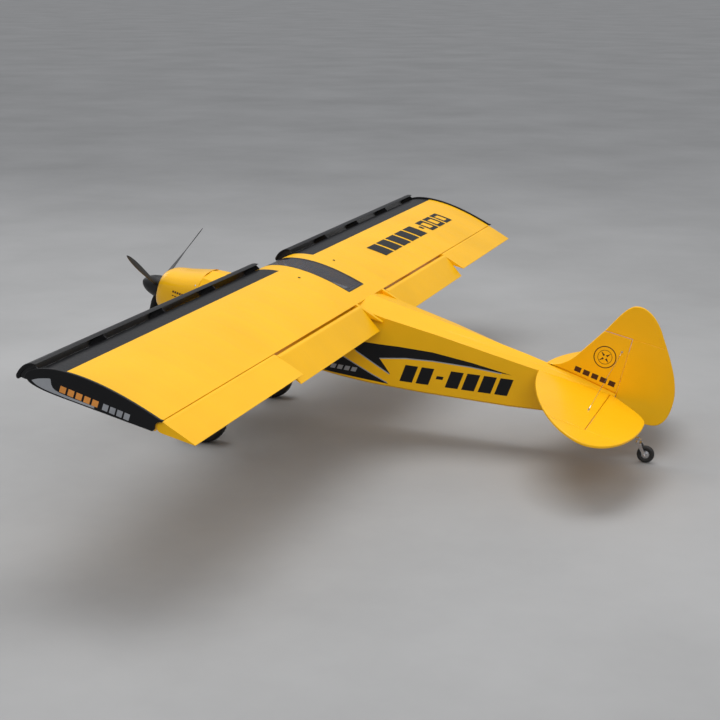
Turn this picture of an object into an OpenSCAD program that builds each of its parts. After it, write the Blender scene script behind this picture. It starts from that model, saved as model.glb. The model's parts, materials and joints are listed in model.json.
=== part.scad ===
// Radio-controlled high-wing taildragger with full-span slats, three metres in span.
// The aircraft is drawn level, with x = 0 at the wing's leading edge, +x forward, +y to its left
// and z = 0 at the wing's flat underside.  stand() then sets it down on its three wheels.

/* [Wing] */
// Distance between the inner faces of the two tip plates
span = 3000; // [2800:10:3200]
// Wing chord, slat not included
chord = 472; // [460:2:480]
// Thickness of the wing's covered sheeting
skin = 1.6; // [1.2:0.1:2.5]
// Ribs in each wing panel
rib_count = 15; // [10:1:18]
// Where the flap ends and the aileron begins, measured from the centreline
flap_end = 811; // [760:1:860]
// Thickness of a tip plate
tip_t = 8; // [4:1:12]
// How far the flaps hang down as the aircraft stands
flap_droop = 18; // [0:1:20]

/* [Slats] */
// Brackets that hold each slat
slat_brackets_n = 5; // [3:1:7]
// Thickness of a slat bracket
bracket_t = 4; // [3:1:6]

/* [Fuselage] */
// Thickness of the fuselage walls
wall = 3; // [2:0.5:4]
// Half width of the cabin
cabin_w = 120; // [118:1:122]
// Half width of the glazed strip in the roof
skylight_w = 70; // [60:1:80]

/* [Landing gear] */
// Radius of a main tyre
tyre_r = 80; // [70:1:85]
// Width of a main tyre
tyre_w = 64; // [50:1:66]
// Distance of a main wheel's middle from the centreline
track_half = 284.6; // [280:0.2:290]
// Radius of the tail tyre
tail_tyre_r = 28; // [24:1:30]

/* [Propeller] */
// Propeller radius
prop_r = 330; // [280:5:340]
// Number of blades
blades = 3; // [2:1:4]
// Spinner radius
spinner_r = 39; // [36:1:40]

/* [Fits] */
// Gap between a moving surface and its neighbour
gap = 1; // [0.8:0.1:2]
// Radial clearance of a shaft in its bore
fit = 0.05; // [0.02:0.01:0.1]

/* [Hidden] */

$fn = 48;

yellow = [0.98, 0.73, 0.05];
black = [0.06, 0.06, 0.07];
chrome = [0.78, 0.79, 0.8];
wood = [0.8, 0.66, 0.45];
smoke = [0.2, 0.24, 0.3, 0.6];

half = span / 2;
panel_root = cabin_w + 0.3;      // a wing panel starts just outside the cabin
hinge_x = -0.8 * chord;          // line on which flaps and ailerons turn
hinge_z = 14.4;                  // height of the aileron hinge line
flap_hinge_z = -15;              // the flaps turn on brackets below the wing
cove_r = 15.5;                   // hollow in the wing's rear face
flap_root = 135.5;               // inner end of a flap
shroud_x = -372;                 // rear edge of the wing's upper sheeting
spar_x = -132;                   // main spar
spar_t = 4;                      // thickness of both spars
rear_spar_x = -346;              // rear spar
tube_x = [-100, -300];           // wing joiner tubes
tube_z = [31, 24];
tube_r = [13, 8];
tube_len = [420, 260];           // half length of each tube

main_x = 5;                      // main axle
main_z = -466.3;
leg_hinge_y = 100;               // hinge of a landing gear leg, along the lower longeron
leg_hinge_z = -252;
leg_hinge_x = [-110, 40];
shock_foot = [206, -462];        // outer end of a shock strut, on the leg: [y, z]
shock_head = [16, -306];         // its inner end, on the cabane: [y, z]
tail_axle = [-1387, -183.2];     // tail axle: [x, z]
steer_x = -1354;                 // steering pivot of the tail wheel
elev_x = -1232;                  // elevator hinge line
elev_z = -30;
stab_slope = 3.2;                // the stabilizer rises towards its leading edge
rudder_x = -1248;                // rudder hinge line
tail_t = 9;                      // thickness of the flat tail surfaces
horn_y = 411;                    // inner edge of the elevator's balance horn
fin_top = 164;                   // underside of the rudder's balance horn
prop_x = 389;                    // middle of the propeller
prop_z = -176;
door_x = [-230, -60];            // cabin door
door_z = [-222, -12];
door_mid = -112;

// Linkages: pivot of the servo's arm [x, z], length of arm and horn, and the y they stand at
ail_servo = [-258, 12];
ail_arm = 30;
ail_y = 1150;
flap_arm = 24;
flap_y = 470;
elev_servo = [-1122, -60];
elev_arm = 25;
elev_y = -37;
rud_servo_x = -1140;
rud_servo_z = -134;
rud_horn_z = -92;
rud_arm = 24;
pin_r = 1;                       // linkage pins
tie_r = 4;                       // eye of a tie-down lug
tie_y = 794;                     // and its place under the wing

// Nose-up attitude at which both tyres touch the ground, and the height it gives x = z = 0
tail_run = norm([main_x - tail_axle[0], main_z - tail_axle[1]]);
line_tilt = atan2(main_z - tail_axle[1], main_x - tail_axle[0]);
pitch = asin((tyre_r - tail_tyre_r) / tail_run) - line_tilt;
ride = tyre_r - main_x * sin(pitch) - main_z * cos(pitch);
middle_x = 444.3;                // from the leading edge back to the middle of the length

module stand() translate([middle_x, 0, ride]) rotate([0, -pitch, 0]) children();

// ---- drawing helpers ----

// Extrudes an [x, z] outline from y0 to y1
module along_y(y0, y1) translate([0, y1, 0]) rotate([90, 0, 0]) linear_extrude(y1 - y0) children();

// Extrudes a [y, z] outline from x0 to x1
module along_x(x0, x1) translate([x0, 0, 0]) rotate([90, 0, 90]) linear_extrude(x1 - x0) children();

// Draws its children on the left, or mirrored on the right
module side(s) {
    if (s > 0) children();
    else mirror([0, 1, 0]) children();
}

module both() {
    children();
    mirror([0, 1, 0]) children();
}

// Carries a shape that stands up +z from the origin to p, and points it at q
module aim(p, q) {
    d = q - p;
    translate(p) rotate([0, acos(d[2] / norm(d)), atan2(d[1], d[0])]) children();
}

module rod(p, q, r) aim(p, q) cylinder(h = norm(q - p), r = r);

// Cylinder across the aircraft, along y
module pin_y(x, z, y0, y1, r) translate([x, y1, z]) rotate([90, 0, 0]) cylinder(h = y1 - y0, r = r);

// Cylinder along x
module pin_x(y, z, x0, x1, r) translate([x0, y, z]) rotate([0, 90, 0]) cylinder(h = x1 - x0, r = r);

module box(low, high) translate(low) cube(high - low);

// Streamlined strut, its chord fore and aft
module strut(p, q, width, depth)
    aim(p, q) linear_extrude(norm(q - p))
        polygon([for (a = [0 : 22.5 : 337.5]) [width / 2 * cos(a), depth / 2 * sin(a)]]);

// Cubic curve from a to d, n steps, its last point left out
function curve(a, b, c, d, n = 8) =
    [for (i = [0 : n - 1]) let (t = i / n, u = 1 - t)
        u * u * u * a + 3 * u * u * t * b + 3 * u * t * t * c + t * t * t * d];

// Closed solid through rings that have the same number of points
module loft(rings) {
    n = len(rings[0]);
    m = len(rings);
    sides = [for (i = [0 : m - 2], j = [0 : n - 1], k = [0, 1])
        let (a = i * n + j, b = i * n + (j + 1) % n)
        k == 0 ? [a, b, b + n] : [a, b + n, a + n]];
    first = [[for (j = [n - 1 : -1 : 0]) j]];
    last = [[for (j = [0 : n - 1]) (m - 1) * n + j]];
    polyhedron(points = [for (r = rings, p = r) p], faces = concat(sides, first, last));
}

// ---- wing section: flat-bottomed, about 14 % thick ----

nose = 0.0406;
function upper(t) = nose + 0.228 * sqrt(t) + 0.019 * t - 0.419 * t * t + 0.134 * t * t * t;
function lower(t) = t < 0.22 ? nose * pow(1 - sqrt(t / 0.22), 2) : 0;

// Outline between the chord fractions t0 and t1, drawn in by `inset`
function foil(t0, t1, inset = 0, n = 14) =
    concat([for (i = [n : -1 : 0]) let (t = t0 + (t1 - t0) * i * i / n / n)
            [-t * chord, upper(t) * chord - inset]],
        [for (i = [0 : n]) let (t = t0 + (t1 - t0) * i * i / n / n)
            [-t * chord, lower(t) * chord + inset]]);

module foil_slab(y0, y1, t0, t1, inset = 0) along_y(y0, y1) polygon(foil(t0, t1, inset));

shroud_t = -shroud_x / chord;

// Solid wing between y0 and y1, hollowed at the back for the flap or aileron
module wing_solid(y0, y1, inset = 0)
    difference() {
        foil_slab(y0, y1, inset / 200, shroud_t, inset);
        pin_y(hinge_x, hinge_z, y0 - 1, y1 + 1, cove_r + inset);
        box([hinge_x - 20, y0 - 1, -1], [hinge_x + cove_r + inset, y1 + 1, hinge_z]);
    }

module joiner_tubes()
    color(chrome)
        for (i = [0, 1])
            difference() {
                pin_y(tube_x[i], tube_z[i], -tube_len[i], tube_len[i], tube_r[i]);
                pin_y(tube_x[i], tube_z[i], -tube_len[i] - 1, tube_len[i] + 1, tube_r[i] - 1);
            }

module tube_holes(y0, y1, clearance)
    for (i = [0, 1])
        pin_y(tube_x[i], tube_z[i], y0, y1, tube_r[i] + clearance);

module wing_skin(s)
    color(yellow)
        side(s)
            difference() {
                union() {
                    wing_solid(panel_root, half);
                    // fixed trailing edge between the fuselage and the flap
                    foil_slab(panel_root, flap_root - gap, shroud_t - 0.025, 1);
                }
                wing_solid(panel_root - 1, half + 1, skin);
                // slots that the servo arms and their rods reach out through
                box([-276, ail_y - 5, -1], [-236, ail_y + 9, skin + 1]);
                box([-276, flap_y - 5, -1], [-230, flap_y + 9, skin + 1]);
            }

function rib_y(i) = panel_root + 1.5 + (half - panel_root - 3) * i / (rib_count - 1);

module wing_frame() {
    rib_t = 3;
    for (i = [0 : rib_count - 1])
        difference() {
            wing_solid(rib_y(i) - rib_t / 2, rib_y(i) + rib_t / 2, skin);
            box([spar_x - spar_t / 2, 0, -1], [spar_x + spar_t / 2, half, 70]);
            box([rear_spar_x - spar_t / 2, 0, -1], [rear_spar_x + spar_t / 2, half, 70]);
            tube_holes(0, half, 0.2);
            for (x = [-60, -190, -230])
                pin_y(x, 30, 0, half, 14);
        }
    for (x = [spar_x, rear_spar_x])
        box([x - spar_t / 2, panel_root, skin],
            [x + spar_t / 2, half, upper((spar_t / 2 - x) / chord) * chord - skin - 0.6]);
}

module wing_frames() color(wood) both() wing_frame();

module tip_plate_outline() {
    proud = 6.5;
    polygon(concat([[-382, 37]],
        [for (i = [14 : -1 : 0]) let (t = shroud_t * i * i / 196)
            [proud * (1 - i / 14) - t * chord, upper(t) * chord + proud * (0.4 + 0.6 * min(1, i / 5))]],
        [[4, 15]],
        [for (i = [1 : 14]) let (t = 0.758 * i * i / 196) [-t * chord, lower(t) * chord]]));
}

module tip_plate()
    difference() {
        along_y(half, half + tip_t) tip_plate_outline();
        pin_y(hinge_x, hinge_z, half - 1, half + tip_t + 1, cove_r + 0.5);
    }

module tip_plates() color(black) both() tip_plate();

// ---- slats ----

// Slat section: outside from the trailing edge over to the nose, then back up the hollow inside
module slat_outline()
    polygon(concat(
        curve([-13, 57], [5, 59.5], [25, 46], [34, 15]),
        curve([34, 15], [35, 8], [30, 2], [25, 6], 5),
        curve([25, 6], [26, 22], [12, 46], [-12, 55.6]),
        [[-12, 55.6]]));

slat_root = flap_root;

module slats() color(black) both() along_y(slat_root, half) slat_outline();

// Plate that reaches from the wing's nose into the slat's hollow
module slat_bracket(y)
    difference() {
        along_y(y, y + bracket_t)
            polygon([[-26, 36], [-20, 47], [-6, 53], [3, 51.5], [15, 41], [26, 22], [26, 10], [10, 9], [-12, 12]]);
        along_y(y - 1, y + bracket_t + 1) slat_outline();
        foil_slab(y - 1, y + bracket_t + 1, 0, shroud_t, -0.1);
    }

module slat_brackets()
    color(black)
        both()
            for (i = [0 : slat_brackets_n - 1])
                slat_bracket(slat_root + 4 + (half - slat_root - 8 - bracket_t) * i / (slat_brackets_n - 1));

// ---- flaps and ailerons ----

// Section of a flap or aileron: the rear of the wing with a round nose inside the cove
module flap_solid(y0, y1) {
    foil_slab(y0, y1, 0.812, 1);
    intersection() {
        pin_y(hinge_x, hinge_z, y0, y1, cove_r - gap - 0.3);
        box([hinge_x - 40, y0 - 1, 0.2], [hinge_x + 40, y1 + 1, 28.6]);
    }
}

// Covered control surface with a rib across every bay
module flap_panel(y0, y1) {
    bays = round((y1 - y0) / 110);
    bay = (y1 - y0) / bays;
    difference() {
        flap_solid(y0, y1);
        for (i = [0 : bays - 1])
            foil_slab(y0 + i * bay + 1.5, y0 + (i + 1) * bay - 1.5, 0.815, 0.93, skin);
    }
}

// Control horn: a plate from the surface down to the hole that the rod's pin turns in
module horn(x, z, y, len, root)
    difference() {
        along_y(y - 1.5, y + 1.5)
            polygon([[x + 5, z - len - 4], [x - 5, z - len - 4], [x - 20, root], [x + 1, root]]);
        pin_y(x, z - len, y - 2, y + 2, pin_r + 0.1);
    }

module aileron(s)
    color(yellow)
        side(s) {
            flap_panel(flap_end + gap / 2, half - gap);
            horn(hinge_x, hinge_z, ail_y, ail_arm, 2);
        }

module droop() translate([hinge_x, 0, flap_hinge_z]) rotate([0, -flap_droop, 0])
    translate([-hinge_x, 0, -flap_hinge_z]) children();

flap_hinge_y = [190, 500, 790];  // where the flap's hinge arms stand

module flap(s)
    color(yellow)
        side(s)
            droop() {
                flap_panel(flap_root, flap_end - gap / 2);
                horn(hinge_x, flap_hinge_z, flap_y, flap_arm, 2);
                for (y = flap_hinge_y)
                    difference() {
                        along_y(y, y + 3)
                            polygon([[hinge_x + 6, -20], [hinge_x - 6, -20], [hinge_x - 30, 2], [hinge_x + 6, 2]]);
                        pin_y(hinge_x, flap_hinge_z, y - 1, y + 4, 2 + fit);
                    }
            }

// Brackets under the wing that carry the flap's hinge pins
module flap_brackets()
    color(chrome)
        both()
            for (y = flap_hinge_y) {
                along_y(y - 3.5, y - 0.5)
                    polygon([[hinge_x + 5, -20], [hinge_x - 5, -20], [hinge_x - 5, -10], [-340, 0],
                        [-310, 0], [-340, -14]]);
                pin_y(hinge_x, flap_hinge_z, y - 0.5, y + 5, 2);
            }

// ---- servos and their linkages; arm and horn stay parallel, so the rod moves level ----

// Servo arm that hangs from its output shaft
module servo_arm(x, z, y, len)
    difference() {
        union() {
            along_y(y - 1.5, y + 1.5)
                polygon([[x - 5, z], [x - 3, z - len - 3], [x + 3, z - len - 3], [x + 5, z]]);
            pin_y(x, z, y - 1.5, y + 4, 5);
        }
        pin_y(x, z - len, y - 2, y + 2, pin_r + fit);
    }

// Rod that stands beside arm and horn, with a pin through each; from a to b, both [x, z]
module link_rod(a, b, y) {
    rod([a[0], y + 4, a[1]], [b[0], y + 4, b[1]], 1.5);
    for (p = [a, b]) {
        pin_y(p[0], p[1], y + 2, y + 6, 3);
        pin_y(p[0], p[1], y - 2.5, y + 2, pin_r);
    }
}

module aileron_arm(s) color("white") side(s) servo_arm(ail_servo[0], ail_servo[1], ail_y, ail_arm);

module aileron_rod(s)
    color(chrome)
        side(s) link_rod(ail_servo - [0, ail_arm], [hinge_x, hinge_z - ail_arm], ail_y);

// Both ends of a flap's arm and horn lean with the flap
flap_lean = flap_arm * [sin(flap_droop), -cos(flap_droop)];

module flap_arm_part(s)
    color("white")
        side(s)
            translate([ail_servo[0], 0, ail_servo[1]]) rotate([0, -flap_droop, 0])
                servo_arm(0, 0, flap_y, flap_arm);

module flap_rod(s)
    color(chrome)
        side(s) link_rod(ail_servo + flap_lean, [hinge_x, flap_hinge_z] + flap_lean, flap_y);

module elevator_arm() color("white") servo_arm(elev_servo[0], elev_servo[1], elev_y, elev_arm);

module elevator_rod()
    color(chrome)
        link_rod(elev_servo - [0, elev_arm], [elev_x, elev_z - elev_arm], elev_y);

// The rudder's arm and horn stand out to the right, under and behind the stern
module rudder_arm()
    color("white")
        translate([rud_servo_x, 0, rud_servo_z])
            difference() {
                union() {
                    translate([0, 0, -1.5]) linear_extrude(3)
                        polygon([[-5, 0], [-3, -rud_arm - 3], [3, -rud_arm - 3], [5, 0]]);
                    translate([0, 0, -1.5]) cylinder(h = 5.5, r = 5);
                }
                translate([0, -rud_arm, -2]) cylinder(h = 4, r = pin_r + fit);
            }

module rudder_rod()
    color(chrome) {
        rod([rud_servo_x, -rud_arm, rud_servo_z - 5.5], [rudder_x, -rud_arm, rud_horn_z - 5.5], 1.5);
        for (p = [[rud_servo_x, rud_servo_z], [rudder_x, rud_horn_z]])
            translate([p[0], -rud_arm, p[1]]) {
                translate([0, 0, -7.5]) cylinder(h = 5.5, r = 3);
                translate([0, 0, -2]) cylinder(h = 4.5, r = pin_r);
            }
    }

// ---- fuselage ----

// Stations: [x, half width, belly z, sill z, roof fraction of width, its z, ridge z]
cabin = [[200, 100, -247, -112, 0.72, -72, -61], [130, 111, -243, -100, 0.75, -68, -57],
    [50, cabin_w, -243, -43.4, 0.75, -26.5, -22.2], [0, cabin_w, -243, -8, 0.75, -0.5, -0.4],
    [-125, cabin_w, -243, -8, 0.75, -0.5, -0.4], [-371.5, cabin_w, -228, -8, 0.75, -0.5, -0.4]];
boom = [[-372, cabin_w, -228, 15, 0.5, 26.5, 38], [-475, 118, -219, 11, 0.5, 22.5, 34],
    [-655, 95, -199, 5, 0.5, 15.5, 26], [-930, 56, -162, -12, 0.5, -0.5, 11],
    [-1120, 28, -129, -22, 0.5, -13.5, -5], [-1242, 10.5, -106, -28.5, 0.5, -25, -21.3]];

// Ring of a station, drawn in by t; `open` lifts the roof away to leave the top open
function ring(s, t = 0, open = false) =
    let (c = 6, w = s[1] - t, b = s[2] + t, sill = open ? 8 : s[3] - 0.6 * t,
        roof = open ? 10 : s[5] - t, top = open ? 12 : s[6] - t)
    [[s[0], c - w, b], [s[0], w - c, b], [s[0], w, b + c], [s[0], w, sill], [s[0], w * s[4], roof],
     [s[0], 0, top], [s[0], -w * s[4], roof], [s[0], -w, sill], [s[0], -w, b + c]];

function moved(s, x) = [x, s[1], s[2], s[3], s[4], s[5], s[6]];

module fuselage_shell()
    color(yellow)
        difference() {
            loft([for (s = concat(cabin, boom)) ring(s)]);
            // nose, open at the firewall
            loft([ring(moved(cabin[0], 201), wall), ring(cabin[1], wall), ring(cabin[2], wall),
                ring(cabin[3], wall)]);
            // cabin, open to the wing above it
            loft([ring(moved(cabin[3], 0.5), wall, true), ring(cabin[4], wall, true),
                ring(moved(cabin[5], -368), wall, true)]);
            // tail boom
            loft([for (i = [0 : 5]) ring(i == 5 ? moved(boom[5], -1234) : i == 0 ? moved(boom[0], -373) : boom[i], wall)]);
            box([-374, -100, -215], [-367, 100, -12]);
            windscreen_cut();
            side_window_cut(1);
            box([door_x[0], -cabin_w - 1, door_z[0]], [door_x[1], 1 - cabin_w + wall, door_z[1]]);
            slot_for_tail();
        }

module windscreen_cut()
    along_y(-cabin_w - 5, cabin_w + 5)
        polygon([[126, -94], [126, -40], [2, 20], [2, -14]]);

module side_window_cut(s)
    side(s)
        along_y(cabin_w - wall - 1, cabin_w + 1)
            polygon([[-20, -95], [-20, -14], [-330, -14], [-250, -95]]);

// Passages for the stabilizer's spars, the rudder servo's shaft and the elevator servo's shaft
module slot_for_tail() {
    pin_y(elev_x, elev_z, -30, 30, 3.3);
    for (x = [-1050, -1205])
        pin_y(x, elev_z + (x - elev_x) * tan(stab_slope), -60, 60, 3.2);
    pin_y(elev_servo[0], elev_servo[1], -60, 0, 6);
    translate([rud_servo_x, 0, -150]) cylinder(h = 60, r = 6);
}

// Flat former, t thick, inside the shell at station s
module former(s, t)
    along_x(s[0], s[0] + t)
        polygon([for (p = ring(s, wall + 0.4)) [p[1], p[2]]]);

module fuselage_formers()
    color(wood) {
        // firewall
        difference() {
            former(moved(cabin[0], 194), 5);
            pin_x(0, prop_z, 190, 205, 12);
        }
        // formers down the boom, each with one large lightening hole
        for (i = [1 : 3])
            difference() {
                former([boom[i][0], boom[i][1] - 0.6, boom[i][2] + 0.8, boom[i][3] - 0.6, 0.5,
                    boom[i][5] - 0.6, boom[i][6] - 0.6], 3);
                pin_x(0, (boom[i][2] + boom[i][3]) / 2, boom[i][0] - 1, boom[i][0] + 5, boom[i][1] * 0.62);
            }
        // tray that carries the battery and the radio
        box([-10, -96, -196], [193.8, 96, -192]);
    }

module battery()
    color([0.1, 0.2, 0.5]) {
        box([10, -34, -191.5], [180, 34, -128]);
    }

module electronics()
    color([0.15, 0.15, 0.17]) {
        // speed controller under the tray, receiver on the cabin floor
        box([80, -28, -220], [160, 28, -198]);
        box([-200, -25, -234], [-140, 25, -217]);
    }

module wing_center_section()
    color(yellow)
        difference() {
            foil_slab(-cabin_w, cabin_w, 0, shroud_t - 0.0015);
            foil_slab(3 - cabin_w, cabin_w - 3, 0.012, 0.775, 2);
            // open underneath, and over the glazed strip
            box([-360, 3 - cabin_w, -1], [-14, cabin_w - 3, 8]);
            box([-320, -skylight_w, 10], [5, skylight_w, 80]);
            tube_holes(-cabin_w - 1, cabin_w + 1, 0.2);
        }

module skylight()
    color(smoke)
        difference() {
            foil_slab(0.3 - skylight_w, skylight_w - 0.3, 0, 0.6773);
            foil_slab(-skylight_w, skylight_w, 0.006, 0.69, 1.6);
            box([-330, -skylight_w, -1], [5, skylight_w, 10.5]);
        }

module cabin_windows()
    color(smoke) {
        // windscreen: the ruled surface between the nose deck and the cabin roof
        intersection() {
            difference() {
                loft([ring(cabin[1]), ring(cabin[2]), ring(cabin[3])]);
                loft([ring(moved(cabin[1], 131), 1.6), ring(cabin[2], 1.6), ring(moved(cabin[3], -1), 1.6)]);
            }
            along_y(-cabin_w - 5, cabin_w + 5)
                polygon([[125.7, -93.7], [125.7, -40], [2.3, 20], [2.3, -13.7]]);
        }
        // left side window
        along_y(cabin_w - 2, cabin_w - 0.4)
            polygon([[-20.4, -94.6], [-20.4, -14.4], [-328.9, -14.4], [-250.2, -94.6]]);
    }

module door(z0, z1, window)
    difference() {
        box([door_x[0] + gap, -cabin_w, z0], [door_x[1] - gap, wall - cabin_w, z1]);
        if (window)
            box([door_x[0] + 18, -cabin_w - 1, z0 + 12], [door_x[1] - 18, 1.4 - cabin_w, z1 - 12]);
    }

module upper_door()
    color(yellow) {
        door(door_mid + gap / 2, door_z[1] - gap, true);
        for (x = [door_x[0] + 30, door_x[1] - 40])
            pin_x(-cabin_w - 2, door_z[1] - 2.4, x, x + 10, 2.2);
    }

module lower_door()
    color(yellow) {
        door(door_z[0] + gap, door_mid - gap / 2, false);
        for (x = [door_x[0] + 30, door_x[1] - 40])
            pin_x(-cabin_w - 2, door_z[0] + 2.4, x, x + 10, 2.2);
    }

// ---- cowling, motor, propeller ----

// Cowl stations: [x, half width, top z, bottom z]
cowl = [[365, 56, -128, -223], [359, 66, -110, -232], [347, 76, -99, -239], [325, 87, -92, -245],
    [285, 97, -84, -248], [200.5, 101, -60, -249]];

// Rounded-square ring
function cowl_ring(s, t = 0) =
    let (w = s[1] - t, h = (s[2] - s[3]) / 2 - t, m = (s[2] + s[3]) / 2)
    [for (a = [0 : 15 : 345]) let (c = cos(a), q = sin(a))
        [s[0], w * sign(c) * pow(abs(c), 0.72), m + h * sign(q) * pow(abs(q), 0.72)]];

module cowling()
    color(yellow)
        difference() {
            loft([for (s = cowl) cowl_ring(s)]);
            loft([for (s = concat([[360, 63.3, -114, -229.5]], [for (i = [2 : 4]) cowl[i]],
                [[199.5, 101, -60, -249]])) cowl_ring(s, 2.5)]);
            pin_x(0, prop_z, 355, 370, spinner_r + 2);
            for (y = [-38, 38])
                pin_x(y, prop_z - 12, 355, 370, 14);
            // outlet for the cooling air
            box([195, -45, -260], [245, 45, -240]);
        }

module motor_mount()
    color(chrome) {
        for (a = [45 : 90 : 315])
            pin_x(32 * cos(a), prop_z + 32 * sin(a), 199.2, 262, 4);
        difference() {
            pin_x(0, prop_z, 262, 268, 40);
            pin_x(0, prop_z, 261, 269, 5.2);
        }
        // stator inside the can
        difference() {
            pin_x(0, prop_z, 268, 318, 33);
            pin_x(0, prop_z, 267, 319, 5.2);
        }
    }

module motor_can()
    color(black) {
        difference() {
            pin_x(0, prop_z, 270, 330, 39);
            pin_x(0, prop_z, 269, 322, 35);
        }
        pin_x(0, prop_z, 262, 322, 5);
        pin_x(0, prop_z, 330, 402, 4);
    }

module spinner()
    color(black)
        difference() {
            translate([371, 0, prop_z]) rotate([0, 90, 0])
                rotate_extrude()
                    polygon(concat([[4.1, 0]],
                        [for (i = [0 : 12]) let (u = i / 12) [spinner_r * pow(1 - u * u, 0.6), 79 * u]],
                        [[0, 76]],
                        [for (i = [12 : -1 : 0]) let (u = i / 12) [(spinner_r - 2.5) * pow(1 - u * u, 0.6), 3 + 72 * u]],
                        [[4.1, 3]]));
            for (i = [0 : blades - 1])
                blade_place(i) translate([0, 0, 30]) cylinder(h = 20, r = 13);
        }

module blade_place(i) translate([prop_x, 0, prop_z]) rotate([180 + i * 360 / blades, 0, 0]) children();

// Blade section at radius r: a thin lens, wide in mid blade, twisted to the pitch
function blade_ring(r) =
    let (f = r / prop_r, w = 40 * sqrt(max(0.01, 1 - pow(f, 6))) * (0.62 + 0.85 * f - 0.95 * f * f),
        t = 2 + 10 * (1 - f) * (1 - f), a = 68 - 52 * pow(f, 0.7))
    [for (k = [0 : 9]) let (u = k * 36, x = t / 2 * cos(u), y = w / 2 * sin(u))
        [x * cos(a) - y * sin(a), y * cos(a) + x * sin(a), r]];

module propeller()
    color(black)
        difference() {
            union() {
                pin_x(0, prop_z, prop_x - 10, prop_x + 10, 17);
                for (i = [0 : blades - 1])
                    blade_place(i) {
                        translate([0, 0, 12]) cylinder(h = 36, r = 8);
                        loft([for (k = [8 : -1 : 0]) blade_ring(46 + (prop_r - 46) * k / 8)]);
                    }
            }
            pin_x(0, prop_z, prop_x - 20, prop_x + 20, 4.05);
        }

// ---- tail ----

stab_outline = concat(
    curve([-991, 47.4], [-1002, 225], [-1108, 485], [-1224, 521]),
    curve([-1224, 521], [-1310, 548], [-1380, 360], [-1369, 169]),
    curve([-1369, 169], [-1368, 110], [-1320, 80], [-1261, 33], 5),
    [[-1261, 33], [-1234, 14.5], [-1226, 13.6]]);

// Plate of the horizontal tail, set at the stabilizer's slope
module tail_plane() translate([elev_x, 0, elev_z]) rotate([0, -stab_slope, 0]) translate([-elev_x, 0, 0]) children();

module plate(outline, t) translate([0, 0, -t / 2]) linear_extrude(t) polygon(outline);

module stabilizer()
    color(yellow) {
        both()
            tail_plane()
                difference() {
                    plate(stab_outline, tail_t);
                    box([-1500, 0, -9], [elev_x + tail_t / 2 + gap, 600, 9]);
                    box([-1500, horn_y, -9], [-900, 600, 9]);
                }
        for (x = [-1050, -1205])
            pin_y(x, elev_z + (x - elev_x) * tan(stab_slope), -stab_root(x) - 0.5, stab_root(x) + 0.5, 3);
    }

// Half width of the fuselage where the stabilizer's root edge meets it
function stab_root(x) = 47.4 - (-991 - x) * (47.4 - 13.6) / (1226 - 991);

module elevator()
    tail_plane() {
        difference() {
            plate(stab_outline, tail_t);
            box([elev_x, 0, -9], [-900, horn_y + 2 * gap, 9]);
        }
        intersection() {
            pin_y(elev_x, 0, 15, horn_y + 2 * gap, tail_t / 2);
            box([elev_x, 0, -9], [elev_x + 9, horn_y + 2 * gap, 9]);
        }
    }

module elevators()
    color(yellow) {
        both() elevator();
        // shaft that joins the two halves and turns in the stern
        pin_y(elev_x, elev_z, -20, 20, 3);
        horn(elev_x, elev_z, elev_y, elev_arm, elev_z - 2);
    }

fin_outline = concat(
    curve([-1005, 5], [-1042, 7], [-1073, 35], [-1090, 63], 5),
    [[-1090, 63], [-1151, fin_top], [rudder_x + tail_t / 2 + gap, fin_top],
     [rudder_x + tail_t / 2 + gap, -20.9], [-1120, -4.6]]);

module fin()
    color(yellow)
        translate([0, tail_t / 2, 0]) rotate([90, 0, 0]) linear_extrude(tail_t) polygon(fin_outline);

rudder_outline = concat(
    curve([-1152, fin_top + 2 * gap], [-1172, 200], [-1195, 262], [-1225, 271], 5),
    curve([-1225, 271], [-1262, 282], [-1302, 250], [-1329, 207], 5),
    curve([-1329, 207], [-1366, 150], [-1414, 85], [-1421, 16]),
    curve([-1421, 16], [-1425, -45], [-1412, -85], [-1366, -88], 5),
    [[-1366, -88], [rudder_x, -100]]);

module rudder()
    color(yellow) {
        difference() {
            translate([0, tail_t / 2, 0]) rotate([90, 0, 0]) linear_extrude(tail_t) polygon(rudder_outline);
            box([rudder_x, -9, -110], [-1100, 9, fin_top + 2 * gap]);
        }
        intersection() {
            translate([rudder_x, 0, -100]) cylinder(h = 100 + fin_top + 2 * gap, r = tail_t / 2);
            box([rudder_x, -9, -110], [rudder_x + 9, 9, 200]);
        }
        // horn on the right
        difference() {
            translate([0, 0, rud_horn_z - 1.5]) linear_extrude(3)
                polygon([[rudder_x - 6, -3.5], [rudder_x - 22, -3.5], [rudder_x - 5, -rud_arm - 4],
                    [rudder_x + 4, -rud_arm - 4], [rudder_x + 4, -rud_arm + 4]]);
            translate([rudder_x, -rud_arm, rud_horn_z - 2]) cylinder(h = 4, r = pin_r + 0.1);
        }
    }

// Bracing wires between fin, stabilizer and fuselage, with the screws that anchor them
module tail_braces()
    color(chrome)
        both() {
            top = [-1223, tail_t / 2 + 2, 117];
            out = [-1201, 238, elev_z + 31 * tan(stab_slope) + tail_t / 2 + 2.3];
            under = [-1201, 238, elev_z + 31 * tan(stab_slope) - tail_t / 2 - 2.3];
            foot = [-1160, 23.4, -112];
            rod(top, out, 0.5);
            rod(under, foot, 0.5);
            pin_y(-1223, 117, tail_t / 2, tail_t / 2 + 4, 4);
            translate([-1201, 238, out[2] - 2]) cylinder(h = 4, r = 4);
            translate([-1201, 238, under[2] - 2]) cylinder(h = 4, r = 4);
        }

// ---- tail wheel ----

module tail_spring()
    color(chrome)
        difference() {
            along_y(-9, 9)
                polygon([[-1165, -120.8], [-1228, -108.9], [-1300, -134], [-1362, -141], [-1362, -144.5],
                    [-1299, -137.5], [-1229, -112.9], [-1165, -124.8]]);
            translate([steer_x, 0, -150]) cylinder(h = 20, r = 3 + fit);
        }

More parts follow.
